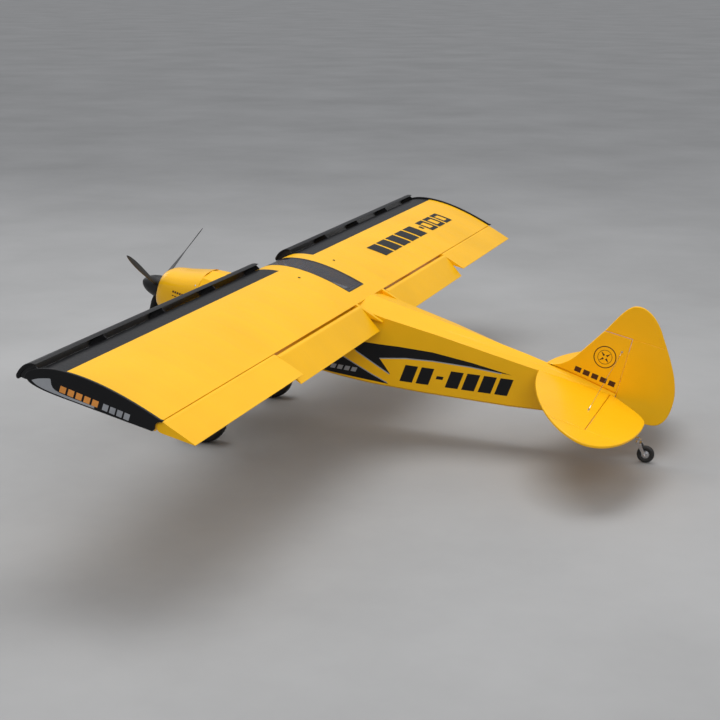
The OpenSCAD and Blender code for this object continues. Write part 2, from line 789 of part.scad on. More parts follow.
module tail_fork()
    color(chrome)
        difference() {
            union() {
                translate([steer_x, 0, -158]) cylinder(h = 22, r = 3);
                box([steer_x - 10, -16, -158], [steer_x + 7, 16, -151]);
                for (y = [-16, 12.5])
                    along_y(y, y + 3.5)
                        polygon([[steer_x + 7, -151.5], [steer_x - 10, -151.5], [tail_axle[0] - 6, tail_axle[1]],
                            [tail_axle[0], tail_axle[1] - 7], [tail_axle[0] + 6, tail_axle[1] - 2]]);
                pin_y(tail_axle[0], tail_axle[1], -18, 18, 3);
            }
        }

module tail_tyre()
    color(black)
        translate([tail_axle[0], 0, tail_axle[1]]) rotate([90, 0, 0])
            rotate_extrude()
                polygon(concat([[13, -7]], curve([13, -7], [18, -13], [28, -11], [tail_tyre_r, 0]),
                    curve([tail_tyre_r, 0], [28, 11], [18, 13], [13, 7]), [[13, 7]]));

module tail_hub()
    color(chrome)
        difference() {
            pin_y(tail_axle[0], tail_axle[1], -7, 7, 13);
            pin_y(tail_axle[0], tail_axle[1], -8, 8, 3 + fit);
        }

// ---- main landing gear ----

module gear_leg(s)
    color(black)
        side(s)
            difference() {
                union() {
                    foot = [main_x, 240, main_z];
                    for (x = leg_hinge_x) {
                        pin_x(leg_hinge_y, leg_hinge_z, x, x + 20, 7);
                        rod([x + 10, leg_hinge_y + 4, leg_hinge_z - 6], foot, 6);
                    }
                    pin_y(main_x, main_z, 232, 246, 9);
                    pin_y(main_x, main_z, 240, track_half + 42, 5);
                    // lug for the shock strut
                    along_x(main_x - 10, main_x - 6)
                        polygon([[shock_foot[0] - 8, shock_foot[1] - 8], [shock_foot[0] - 8, shock_foot[1] + 8],
                            [238, main_z + 9], [238, main_z - 9]]);
                    pin_x(shock_foot[0], shock_foot[1], main_x - 10, main_x + 10, 2.5);
                }
                for (x = leg_hinge_x)
                    pin_x(leg_hinge_y, leg_hinge_z, x - 1, x + 21, 3 + fit);
            }

shock_dir = (shock_foot - shock_head) / norm(shock_foot - shock_head);
shock_len = norm(shock_foot - shock_head);

// Point on the strut's axis at the distance d from its head
function on_shock(d) = let (p = shock_head + d * shock_dir) [main_x, p[0], p[1]];

module shock_sleeve(s)
    color(black)
        side(s)
            difference() {
                union() {
                    pin_x(shock_head[0], shock_head[1], main_x - 3, main_x + 3, 8);
                    rod(on_shock(6), on_shock(19), 4);
                    rod(on_shock(17), on_shock(150), 8);
                }
                pin_x(shock_head[0], shock_head[1], main_x - 4, main_x + 4, 2.5 + fit);
                rod(on_shock(20), on_shock(151), 5 + fit);
            }

module shock_rod(s)
    color(chrome)
        side(s)
            difference() {
                union() {
                    rod(on_shock(30), on_shock(shock_len - 6), 5);
                    pin_x(shock_foot[0], shock_foot[1], main_x - 3, main_x + 3, 8);
                }
                // the pin stands loose in this eye
                pin_x(shock_foot[0], shock_foot[1], main_x - 4, main_x + 4, 4);
            }

// Frame under the belly that holds the inner ends of the shock struts, and the legs' hinge pins
module cabane()
    color(black)
        both() {
            for (x = [main_x - 9, main_x + 5]) {
                along_x(x, x + 4)
                    polygon([[0, -298], [24, -298], [24, -312], [0, -312]]);
            }
            pin_x(shock_head[0], shock_head[1], main_x - 9, main_x + 9, 2.5);
            for (x = [main_x - 10, main_x + 10])
                rod([x, 14, -302], [x < main_x ? -60 : 60, 62, -248], 4);
            for (x = leg_hinge_x) {
                pin_x(leg_hinge_y, leg_hinge_z, x - 6, x + 26, 3);
                for (e = [x - 6, x + 20.5])
                    box([e, leg_hinge_y - 6, -258], [e + 5.5, leg_hinge_y + 6, -243]);
            }
            // plate on the belly
            box([leg_hinge_x[0] - 6, 30, -244.5], [leg_hinge_x[1] + 26, leg_hinge_y + 6, -243]);
        }

bulge = 0.5625 * tyre_w;          // shapes the tyre's side walls

module main_tyre(s)
    color(black)
        side(s)
            translate([main_x, track_half, main_z]) rotate([90, 0, 0])
                rotate_extrude()
                    polygon(concat([[32, -24]],
                        curve([32, -24], [40, -bulge], [tyre_r, -bulge], [tyre_r, 0]),
                        curve([tyre_r, 0], [tyre_r, bulge], [40, bulge], [32, 24]), [[32, 24]]));

module main_hub(s)
    color(black)
        side(s)
            difference() {
                union() {
                    pin_y(main_x, main_z, track_half - 24, track_half + 24, 32);
                    pin_y(main_x, main_z, track_half - 32, track_half + 32, 12);
                }
                pin_y(main_x, main_z, track_half - 34, track_half + 34, 5 + fit);
            }

// ---- wing struts ----

// Each strut runs from [x, y, z] on the longeron out to [x, y, z] under the wing
strut_ends = [[[40, cabin_w + 12, -232], [-105, 760, -6]], [[8, cabin_w + 12, -232], [-295, 760, -6]]];

module wing_struts()
    color(black)
        both() {
            for (e = strut_ends) {
                root = e[0];
                top = e[1];
                strut(root, top, 10, 24);
                // fitting against the wing's underside, and one on the longeron
                box([top[0] - 12, top[1] - 8, -10], [top[0] + 12, top[1] + 16, 0]);
                box([root[0] - 12, cabin_w, -237], [root[0] + 12, cabin_w + 16, -227]);
            }
            // tie-down lug on a plate that runs on outboard from the front fitting
            box([-117, 752, -3], [-93, tie_y + 2, 0]);
            difference() {
                along_y(tie_y - 2, tie_y + 2)
                    polygon([[-93, 0], [-117, 0], [-117, -14], [-111, -22], [-99, -22], [-93, -14]]);
                pin_y(-105, -12, tie_y - 3, tie_y + 3, tie_r);
            }
        }

module servos()
    color([0.15, 0.15, 0.17]) {
        both()
            for (y = [ail_y, flap_y])
                box([-278, y + 4.2, 4], [-238, y + 24, 40]);
        box([-1150, -18, -80], [-1110, 0, -40]);
        pin_y(elev_servo[0], elev_servo[1], elev_y + 4.2, -18, 3);
        box([-1158, -10, -118], [-1122, 10, -96]);
        translate([rud_servo_x, 0, rud_servo_z + 4.2]) cylinder(h = -118 - rud_servo_z - 4.2, r = 3);
    }

stand() fuselage_shell();
stand() fuselage_formers();
stand() motor_mount();
stand() electronics();
stand() battery();
stand() cowling();
stand() cabin_windows();
stand() skylight();
stand() wing_center_section();
stand() joiner_tubes();
stand() wing_skin(1);  // left_wing_skin
stand() wing_skin(-1);  // right_wing_skin
stand() wing_frames();
stand() tip_plates();
stand() slats();
stand() slat_brackets();
stand() flap_brackets();
stand() wing_struts();
stand() cabane();
stand() fin();
stand() stabilizer();
stand() tail_braces();
stand() tail_spring();
stand() servos();
stand() aileron(1);  // left_aileron
stand() aileron(-1);  // right_aileron
stand() flap(1);  // left_flap
stand() flap(-1);  // right_flap
stand() elevators();
stand() rudder();
stand() tail_fork();
stand() tail_tyre();
stand() tail_hub();
stand() gear_leg(1);  // left_gear_leg
stand() gear_leg(-1);  // right_gear_leg
stand() shock_sleeve(1);  // left_shock_sleeve
stand() shock_sleeve(-1);  // right_shock_sleeve
stand() shock_rod(1);  // left_shock_rod
stand() shock_rod(-1);  // right_shock_rod
stand() main_tyre(1);  // left_tyre
stand() main_tyre(-1);  // right_tyre
stand() main_hub(1);  // left_hub
stand() main_hub(-1);  // right_hub
stand() propeller();
stand() spinner();
stand() motor_can();
stand() upper_door();
stand() lower_door();
stand() aileron_arm(1);  // left_aileron_arm
stand() aileron_arm(-1);  // right_aileron_arm
stand() aileron_rod(1);  // left_aileron_rod
stand() aileron_rod(-1);  // right_aileron_rod
stand() flap_arm_part(1);  // left_flap_arm
stand() flap_arm_part(-1);  // right_flap_arm
stand() flap_rod(1);  // left_flap_rod
stand() flap_rod(-1);  // right_flap_rod
stand() elevator_arm();
stand() elevator_rod();
stand() rudder_arm();
stand() rudder_rod();
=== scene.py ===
"""Visual model of a radio-controlled high-wing taildragger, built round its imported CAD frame.

Places are in the aircraft's own millimetres: x forward from the wing's leading edge, y to its left,
z up from the wing's flat underside.  at() carries them into the frame, where the aircraft stands
nose-up on its wheels.
"""
import json
import math

import bmesh
import bpy
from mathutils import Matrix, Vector


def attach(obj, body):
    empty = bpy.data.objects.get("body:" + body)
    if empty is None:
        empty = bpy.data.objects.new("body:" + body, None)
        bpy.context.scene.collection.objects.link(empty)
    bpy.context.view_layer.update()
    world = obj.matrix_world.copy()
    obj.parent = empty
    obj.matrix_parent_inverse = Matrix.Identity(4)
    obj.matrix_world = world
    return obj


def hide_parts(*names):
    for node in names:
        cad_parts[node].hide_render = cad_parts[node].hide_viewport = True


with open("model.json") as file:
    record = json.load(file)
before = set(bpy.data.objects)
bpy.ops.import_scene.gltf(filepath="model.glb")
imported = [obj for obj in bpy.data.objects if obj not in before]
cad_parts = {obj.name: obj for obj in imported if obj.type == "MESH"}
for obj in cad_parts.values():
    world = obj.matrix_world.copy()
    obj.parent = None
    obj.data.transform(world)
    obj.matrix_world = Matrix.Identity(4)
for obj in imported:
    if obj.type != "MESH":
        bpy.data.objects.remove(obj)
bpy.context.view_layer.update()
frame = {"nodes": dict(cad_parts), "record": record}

MM = 0.001
JOINTS = {j["name"]: j for j in frame["record"]["behaviour"]["joints"]}
FORWARD = Vector(JOINTS["propeller_spin"]["axis"])
UP = Vector(JOINTS["rudder_hinge"]["axis"])
LEFT = Vector((0, 1, 0))

# Sizes that the CAD model shares
HALF, CHORD, PANEL_ROOT = 1500.0, 472.0, 120.3
HINGE_X, HINGE_Z, FLAP_HINGE_Z = -377.6, 14.4, -15.0
SHROUD_X, COVE_R, FLAP_ROOT, FLAP_END = -372.0, 15.5, 135.5, 811.0
TIP_T, FLAP_DROOP, RIBS = 8.0, 18.0, 15
CABIN_W, SKYLIGHT_W, SKYLIGHT_X = 120.0, 70.0, -320.0
ELEV_X, ELEV_Z, STAB_SLOPE, HORN_Y = -1232.0, -30.0, 3.2, 411.0
RUDDER_X, FIN_TOP, TAIL_T, GAP = -1248.0, 164.0, 9.0, 1.0
PROP_X, PROP_Z, PROP_R, SPINNER_R = 389.0, -176.0, 330.0, 39.0
MAIN_X, MAIN_Z, TRACK, TYRE_R, TYRE_W = 5.0, -466.3, 284.6, 80.0, 64.0
TAIL_X, TAIL_Z, TAIL_R = -1387.0, -183.2, 28.0
LINK_Y = {"aileron": 1150.0, "flap": 470.0}

ORIGIN = Vector(JOINTS["left_aileron_hinge"]["pos_m"]) - FORWARD * HINGE_X * MM - UP * HINGE_Z * MM
ORIGIN.y = 0


def at(x, y, z):
    """A place on the aircraft, in the frame's metres."""
    return ORIGIN + (FORWARD * x + LEFT * y + UP * z) * MM


# ---------------------------------------------------------------- camera, lights and floor

def look():
    """Camera at the photograph's place and angle."""
    camera = bpy.data.objects.new("camera", bpy.data.cameras.new("camera"))
    bpy.context.scene.collection.objects.link(camera)
    camera.location = at(-1696.3, 4541.9, 1434.8)
    yaw, pitch = math.radians(-70.01), math.radians(-14.80)
    camera.rotation_euler = (math.pi / 2 + pitch, 0, yaw - math.pi / 2)
    camera.data.sensor_width = 36
    camera.data.lens = 74.04
    camera.data.clip_end = 2000
    bpy.context.scene.camera = camera


def soft_light(name, place, aim, size, watts):
    """Area light at a place in the frame's metres, facing aim."""
    data = bpy.data.lights.new(name, "AREA")
    data.shape = "RECTANGLE"
    data.size, data.size_y = size
    data.energy = watts
    light = bpy.data.objects.new(name, data)
    bpy.context.scene.collection.objects.link(light)
    light.location = place
    light.rotation_euler = (Vector(aim) - Vector(place)).to_track_quat("-Z", "Y").to_euler()


def stage():
    """Soft overhead light on a plain pale floor."""
    bpy.context.scene.view_settings.view_transform = "Standard"
    world = bpy.data.worlds.new("world")
    bpy.context.scene.world = world
    world.use_nodes = True
    nodes, links = world.node_tree.nodes, world.node_tree.links
    sky = nodes["Background"]
    sky.inputs["Color"].default_value = (0.94, 0.96, 1.0, 1)
    # bright overhead, dim towards the horizon
    height = nodes.new("ShaderNodeSeparateXYZ")
    links.new(nodes.new("ShaderNodeTexCoord").outputs["Generated"], height.inputs["Vector"])
    dome = nodes.new("ShaderNodeMapRange")
    dome.inputs["From Min"].default_value = 0.0
    dome.inputs["From Max"].default_value = 0.7
    dome.inputs["To Min"].default_value = 0.22
    dome.inputs["To Max"].default_value = 0.72
    links.new(height.outputs["Z"], dome.inputs["Value"])
    links.new(dome.outputs["Result"], sky.inputs["Strength"])
    soft_light("overhead", (0.4, -0.6, 5.2), (0, 0, 0.4), (4.0, 2.8), 150)
    soft_light("window_left", (-2.6, 4.6, 3.4), (0, 0, 0.5), (3, 2), 74)
    soft_light("window_front", (4.8, -2.2, 3.0), (0, 0, 0.5), (2.6, 2), 24)
    reach = 500
    corners = [(-reach, -reach, 0), (reach, -reach, 0), (reach, reach, 0), (-reach, reach, 0)]
    mesh = bpy.data.meshes.new("floor")
    mesh.from_pydata(corners, [], [(0, 1, 2, 3)])
    floor = bpy.data.objects.new("floor", mesh)
    bpy.context.scene.collection.objects.link(floor)
    mesh.materials.append(concrete())


# ---------------------------------------------------------------- materials

def material(name, color, roughness, metallic=0.0, **sockets):
    """A Principled material; returns it with its nodes, its links and the shader."""
    mat = bpy.data.materials.new(name)
    mat.use_nodes = True
    nodes, links = mat.node_tree.nodes, mat.node_tree.links
    shader = nodes["Principled BSDF"]
    shader.inputs["Base Color"].default_value = (*color, 1)
    shader.inputs["Roughness"].default_value = roughness
    shader.inputs["Metallic"].default_value = metallic
    for socket, value in sockets.items():
        shader.inputs[socket.replace("_", " ")].default_value = value
    return mat, nodes, links, shader


def object_space(nodes, links, scale=(1, 1, 1)):
    """Coordinates that stay on the piece, stretched by `scale` along x, y and z."""
    place = nodes.new("ShaderNodeTexCoord")
    stretch = nodes.new("ShaderNodeMapping")
    stretch.inputs["Scale"].default_value = scale
    links.new(place.outputs["Object"], stretch.inputs["Vector"])
    return stretch.outputs["Vector"]


def noise(nodes, links, vector, scale, detail=3.0, rough=0.5):
    tex = nodes.new("ShaderNodeTexNoise")
    tex.inputs["Scale"].default_value = scale
    tex.inputs["Detail"].default_value = detail
    tex.inputs["Roughness"].default_value = rough
    links.new(vector, tex.inputs["Vector"])
    return tex.outputs["Fac"]


def spread(nodes, links, value, low, high):
    """Maps the middle of a noise's range onto low..high."""
    ramp = nodes.new("ShaderNodeMapRange")
    ramp.inputs["From Min"].default_value = 0.3
    ramp.inputs["From Max"].default_value = 0.7
    ramp.inputs["To Min"].default_value = low
    ramp.inputs["To Max"].default_value = high
    links.new(value, ramp.inputs["Value"])
    return ramp.outputs["Result"]


def tint(nodes, links, shader, value, dark, light):
    """Base colour that follows a noise between two near shades."""
    mix = nodes.new("ShaderNodeMix")
    mix.data_type = "RGBA"
    mix.inputs["A"].default_value = (*dark, 1)
    mix.inputs["B"].default_value = (*light, 1)
    links.new(spread(nodes, links, value, 0, 1), mix.inputs["Factor"])
    links.new(mix.outputs["Result"], shader.inputs["Base Color"])


def roughen(nodes, links, shader, value, low, high):
    """Roughness that follows a noise between low and high."""
    links.new(spread(nodes, links, value, low, high), shader.inputs["Roughness"])


def bump(nodes, links, shader, height, distance, strength):
    node = nodes.new("ShaderNodeBump")
    node.inputs["Distance"].default_value = distance
    node.inputs["Strength"].default_value = strength
    links.new(height, node.inputs["Height"])
    links.new(node.outputs["Normal"], shader.inputs["Normal"])


def film(name, color, roughness, coat):
    """Iron-on film: glossy, faintly uneven where it has been shrunk, with fine dust."""
    mat, nodes, links, shader = material(name, color, roughness, Coat_Weight=coat, Coat_Roughness=0.14,
        Specular_IOR_Level=0.2)
    wide = object_space(nodes, links)
    pull = object_space(nodes, links, (1.0, 5.0, 1.0))
    tint(nodes, links, shader, noise(nodes, links, wide, 3.5),
        [c * 0.93 for c in color], [min(1, c * 1.04 + 0.002) for c in color])
    dust = noise(nodes, links, wide, 140, 5, 0.65)
    roughen(nodes, links, shader, dust, roughness - 0.05, roughness + 0.09)
    bump(nodes, links, shader, noise(nodes, links, pull, 9, 2, 0.4), 0.0012, 0.5)
    return mat


def moulded(name, color, roughness):
    """Moulded plastic or powder coat with a fine grain."""
    mat, nodes, links, shader = material(name, color, roughness, Specular_IOR_Level=0.35)
    wide = object_space(nodes, links)
    fine = noise(nodes, links, wide, 420, 3)
    tint(nodes, links, shader, noise(nodes, links, wide, 12),
        [c * 0.85 for c in color], [min(1, c * 1.2 + 0.003) for c in color])
    roughen(nodes, links, shader, fine, roughness - 0.07, roughness + 0.1)
    bump(nodes, links, shader, fine, 0.0002, 0.35)
    return mat


def metal(name, color, roughness, stretch=(1, 1, 1)):
    """Turned or drawn metal with fine marks."""
    mat, nodes, links, shader = material(name, color, roughness, 1.0)
    lines = noise(nodes, links, object_space(nodes, links, stretch), 260, 4, 0.6)
    roughen(nodes, links, shader, lines, max(0.03, roughness - 0.07), roughness + 0.12)
    tint(nodes, links, shader, lines, [c * 0.88 for c in color], color)
    bump(nodes, links, shader, lines, 0.00005, 0.3)
    return mat


def rubber():
    mat, nodes, links, shader = material("tyre_rubber", (0.008, 0.008, 0.009), 0.7)
    wide = object_space(nodes, links)
    dust = noise(nodes, links, wide, 22, 6, 0.7)
    tint(nodes, links, shader, dust, (0.005, 0.005, 0.006), (0.022, 0.021, 0.02))
    roughen(nodes, links, shader, noise(nodes, links, wide, 90), 0.5, 0.75)
    bump(nodes, links, shader, noise(nodes, links, wide, 900, 2), 0.0003, 0.5)
    return mat


def plywood():
    mat, nodes, links, shader = material("birch_ply", (0.6, 0.42, 0.22), 0.55)
    grain = noise(nodes, links, object_space(nodes, links, (2, 40, 40)), 6, 6, 0.6)
    tint(nodes, links, shader, grain, (0.45, 0.28, 0.13), (0.68, 0.5, 0.28))
    bump(nodes, links, shader, grain, 0.0003, 0.5)
    return mat


def glazing():
    """Tinted acetate, which lets a little of the cabin show."""
    mat, nodes, links, shader = material("tinted_acetate", (0.03, 0.036, 0.05), 0.06,
        Transmission_Weight=0.35, IOR=1.46, Alpha=0.55, Specular_IOR_Level=0.4)
    wide = object_space(nodes, links)
    roughen(nodes, links, shader, noise(nodes, links, wide, 60, 4), 0.03, 0.14)
    bump(nodes, links, shader, noise(nodes, links, wide, 7, 2), 0.002, 0.35)
    return mat


def concrete():
    mat, nodes, links, shader = material("floor_grey", (0.5, 0.5, 0.5), 0.7)
    wide = object_space(nodes, links)
    tint(nodes, links, shader, noise(nodes, links, wide, 0.8, 6, 0.6),
        (0.31, 0.308, 0.305), (0.385, 0.383, 0.38))
    return mat


YELLOW = (0.95, 0.495, 0.002)
MATERIALS = {
    "covering": film("yellow_film", YELLOW, 0.38, 0.12),
    "painted_cowl": film("yellow_paint", YELLOW, 0.3, 0.5),
    "black_covering": film("black_film", (0.005, 0.005, 0.006), 0.42, 0.06),
    "plywood": plywood(),
    "alloy": metal("alloy", (0.72, 0.73, 0.75), 0.3),
    "chrome": metal("chrome", (0.8, 0.8, 0.82), 0.12, (1, 1, 6)),
    "braided_wire": metal("braided_wire", (0.2, 0.19, 0.18), 0.5, (4, 4, 4)),
    "black_steel": moulded("black_powder_coat", (0.007, 0.007, 0.008), 0.42),
    "black_plastic": moulded("black_plastic", (0.008, 0.008, 0.009), 0.45),
    "white_plastic": moulded("white_nylon", (0.75, 0.74, 0.7), 0.4),
    "battery_wrap": moulded("blue_wrap", (0.02, 0.05, 0.3), 0.3),
    "carbon": moulded("filled_nylon", (0.007, 0.007, 0.008), 0.36),
    "glazing": glazing(),
    "tyre": rubber(),
    "grey_trim": moulded("grey_trim", (0.3, 0.31, 0.33), 0.4),
    "brown_trim": moulded("brown_trim", (0.05, 0.012, 0.006), 0.42),
    "orange_trim": moulded("orange_trim", (0.7, 0.27, 0.05), 0.4),
}


# ---------------------------------------------------------------- mesh helpers

class Form:
    """Points and faces of one piece, in the aircraft's millimetres."""

    def __init__(self):
        self.points = []
        self.faces = []
        self.paint = []

    def add(self, points):
        first = len(self.points)
        self.points.extend(points)
        return list(range(first, len(self.points)))

    def face(self, ids, paint=0):
        self.faces.append(ids)
        self.paint.append(paint)

    def rings(self, rings, caps=True, paint=None):
        """Skin over rings of equally many points; paint(i, j) gives a face's material."""
        ids = [self.add(r) for r in rings]
        count = len(rings[0])
        for i in range(len(rings) - 1):
            for j in range(count):
                k = (j + 1) % count
                self.face([ids[i][j], ids[i][k], ids[i + 1][k], ids[i + 1][j]],
                    paint(i, j) if paint else 0)
        if caps:
            self.face(ids[0][::-1])
            self.face(ids[-1])


def build(name, form, body, slots, replaces=(), sharp=32.0):
    """Makes the piece, lets it ride, and gives it its materials; slots[0] names its finish."""
    slots = [slots] if isinstance(slots, str) else slots
    mesh = bpy.data.meshes.new(name)
    mesh.from_pydata([at(*p) for p in form.points], [], form.faces)
    for s in slots:
        mesh.materials.append(MATERIALS[s])
    mesh.polygons.foreach_set("material_index", form.paint)
    bm = bmesh.new()
    bm.from_mesh(mesh)
    bmesh.ops.remove_doubles(bm, verts=bm.verts, dist=1e-6)
    bmesh.ops.recalc_face_normals(bm, faces=bm.faces)
    bm.to_mesh(mesh)
    bm.free()
    mesh.shade_smooth()
    mesh.set_sharp_from_angle(angle=math.radians(sharp))
    piece = bpy.data.objects.new(name, mesh)
    bpy.context.scene.collection.objects.link(piece)
    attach(piece, body)
    if replaces:
        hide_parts(*replaces)
    return piece


def curve(a, b, c, d, n):
    """Cubic curve in n steps, its last point left out."""
    out = []
    for i in range(n):
        t = i / n
        u = 1 - t
        out.append(tuple(u ** 3 * p + 3 * u * u * t * q + 3 * u * t * t * r + t ** 3 * s
            for p, q, r, s in zip(a, b, c, d)))
    return out


def inset(outline, amount):
    """Outline drawn in by `amount`, corner by corner."""
    area = sum(p[0] * q[1] - q[0] * p[1] for p, q in zip(outline, outline[1:] + outline[:1]))
    sign = 1 if area > 0 else -1
    out = []
    for i, p in enumerate(outline):
        before, after = outline[i - 1], outline[(i + 1) % len(outline)]
        a = Vector((p[0] - before[0], p[1] - before[1])).normalized()
        b = Vector((after[0] - p[0], after[1] - p[1])).normalized()
        n = Vector((-a.y - b.y, a.x + b.x)) * sign
        if n.length < 1e-6:
            out.append(p)
            continue
        n.normalize()
        grow = amount / max(0.35, n.dot(Vector((-a.y, a.x)) * sign))
        out.append((p[0] + n.x * grow, p[1] + n.y * grow))
    return out


def slab(form, outline, low, high, place, rounding, steps):
    """Plate between the levels low and high, its edges rounded; place(u, v, w) gives x, y, z."""
    arc = [math.pi / 2 * k / steps for k in range(steps + 1)]
    edge = [(rounding * (1 - math.sin(a)), rounding * (1 - math.cos(a))) for a in arc]
    levels = [(low + up, draw) for up, draw in reversed(edge)] + [(high - up, draw) for up, draw in edge]
    if rounding > 2:
        # a flat rim, so that the rounding's shading stays off the faces
        levels = [(low, rounding + 1)] + levels + [(high, rounding + 1)]
    form.rings([[place(u, v, w) for u, v in (inset(outline, draw) if draw > 1e-6 else outline)]
        for w, draw in levels])


def revolve(form, profile, place, n=64, closed=False, paint=None):
    """Turns a profile of (radius, along) about an axis; place(a, r, w) gives x, y, z."""
    rings = [[place(2 * math.pi * k / n, r, w) for k in range(n)] for r, w in profile]
    form.rings(rings + ([rings[0]] if closed else []), caps=not closed, paint=paint)


def standing(side=1):
    """Places a plate that stands fore and aft: its outline in x and z, its thickness along y."""
    return lambda u, v, w: (u, side * w, v)


def about_y(x, z, side=1):
    return lambda a, r, w: (x + r * math.cos(a), side * w, z + r * math.sin(a))


def about_x(y, z):
    return lambda a, r, w: (w, y + r * math.cos(a), z + r * math.sin(a))


def about(point, normal):
    """Revolves about `normal` through `point`, w counted from the point."""
    n = Vector(normal).normalized()
    u = n.orthogonal().normalized()
    v = n.cross(u)
    return lambda a, r, w: tuple(Vector(point) + n * w + (u * math.cos(a) + v * math.sin(a)) * r)


def turned(x, z, px, pz, degrees):
    """(x, z) turned about a crosswise axis, so that what lies behind it goes down."""
    a = math.radians(degrees)
    dx, dz = x - px, z - pz
    return px + dx * math.cos(a) - dz * math.sin(a), pz + dx * math.sin(a) + dz * math.cos(a)


def screw(form, point, normal, r, h):
    """Cap screw with a socket."""
    profile = [(r, 0), (r, h * 0.6), (r * 0.85, h), (r * 0.5, h), (r * 0.45, h * 0.35), (0.01, h * 0.35)]
    revolve(form, profile, about(point, normal), n=16)


# ---------------------------------------------------------------- wing section

NOSE = 0.0406


def upper(t):
    """Height of the wing's upper side, as a share of the chord, t chords behind its front."""
    return NOSE + 0.228 * math.sqrt(t) + 0.019 * t - 0.419 * t * t + 0.134 * t ** 3


def lower(t):
    return NOSE * (1 - math.sqrt(t / 0.22)) ** 2 if t < 0.22 else 0.0


def top_z(x):
    return upper(-x / CHORD) * CHORD


# where the black nose of the wing ends above, below and at the root, and the sheeted nose's end
BLACK_X, BLACK_UNDER_X, BLACK_ROOT = -94.0, -40.0, 150.0
SPAR_X = -132.0
WING_SAG, PANEL_SAG = 0.9, 0.55


def slack(x):
    """How far the film can sag at a place along the chord: not over the sheeted nose."""
    rise = min(1, max(0, (SPAR_X - x) / 40))
    fall = min(1, max(0, (x - SHROUD_X) / 30))
    return rise * rise * (3 - 2 * rise) * fall


def wing_chord():
    """(x, z, slack, black) round the wing, from the upper rear edge forward and back below."""
    out = []
    for i in range(26):
        x = SHROUD_X + (BLACK_X - SHROUD_X) * i / 26
        out.append((x, top_z(x), slack(x), False))
    for i in range(18, 0, -1):
        x = BLACK_X * (i / 18) ** 2
        out.append((x, top_z(x), 0, True))
    for i in range(8):
        x = BLACK_UNDER_X * (i / 8) ** 2
        out.append((x, lower(-x / CHORD) * CHORD, 0, True))
    end = HINGE_X + COVE_R
    for i in range(13):
        x = BLACK_UNDER_X + (end - BLACK_UNDER_X) * i / 12
        out.append((x, lower(-x / CHORD) * CHORD, -slack(x), False))
    for i in range(9):
        a = math.radians(68.8 * i / 8)
        out.append((HINGE_X + COVE_R * math.cos(a), HINGE_Z + COVE_R * math.sin(a), 0, False))
    return out


def rib_places():
    return [PANEL_ROOT + 1.5 + (HALF - PANEL_ROOT - 3) * i / (RIBS - 1) for i in range(RIBS)]


def bays(ribs, steps=8, cap=3.0):
    """(y, sag) along the span: flat on each rib's cap strip, sagging between."""
    out = []
    for a, b in zip(ribs, ribs[1:]):
        out.append((a - cap if a != ribs[0] else a, 0.0))
        for k in range(steps):
            u = k / steps
            out.append((a + cap + (b - a - 2 * cap) * u, math.sin(math.pi * u) ** 0.8 if k else 0.0))
    out += [(ribs[-1] - cap, 0.0), (ribs[-1], 0.0)]
    return out


def wing_film(side):
    """Covering of one wing half, sagging between its ribs."""
    name = "left" if side > 0 else "right"
    chord = wing_chord()
    stations = bays(rib_places())
    stations[0] = (PANEL_ROOT, 0.0)
    stations[-1] = (HALF, 0.0)
    nearest = min(range(len(stations)), key=lambda i: abs(stations[i][0] - BLACK_ROOT))
    stations[nearest] = (BLACK_ROOT, stations[nearest][1])
    form = Form()
    rings = [[(x, side * y, z - WING_SAG * s * k) for x, z, k, _ in chord] for y, s in stations]
    form.rings(rings, paint=lambda i, j: int(chord[j][3] and stations[i][0] >= BLACK_ROOT - 0.1))
    # fixed trailing edge between the fuselage and the flap
    start = 0.763
    parts = [start + (1 - start) * i / 8 for i in range(9)]
    stub = [(-t * CHORD, upper(t) * CHORD) for t in parts] + [(-CHORD, 0.0), (-start * CHORD, 0.0)]
    slab(form, stub, PANEL_ROOT, FLAP_ROOT - GAP, standing(side), 0.8, 2)
    build(name + "_wing_film", form, "airframe", ["covering", "black_covering"], [name + "_wing_skin"], 40)


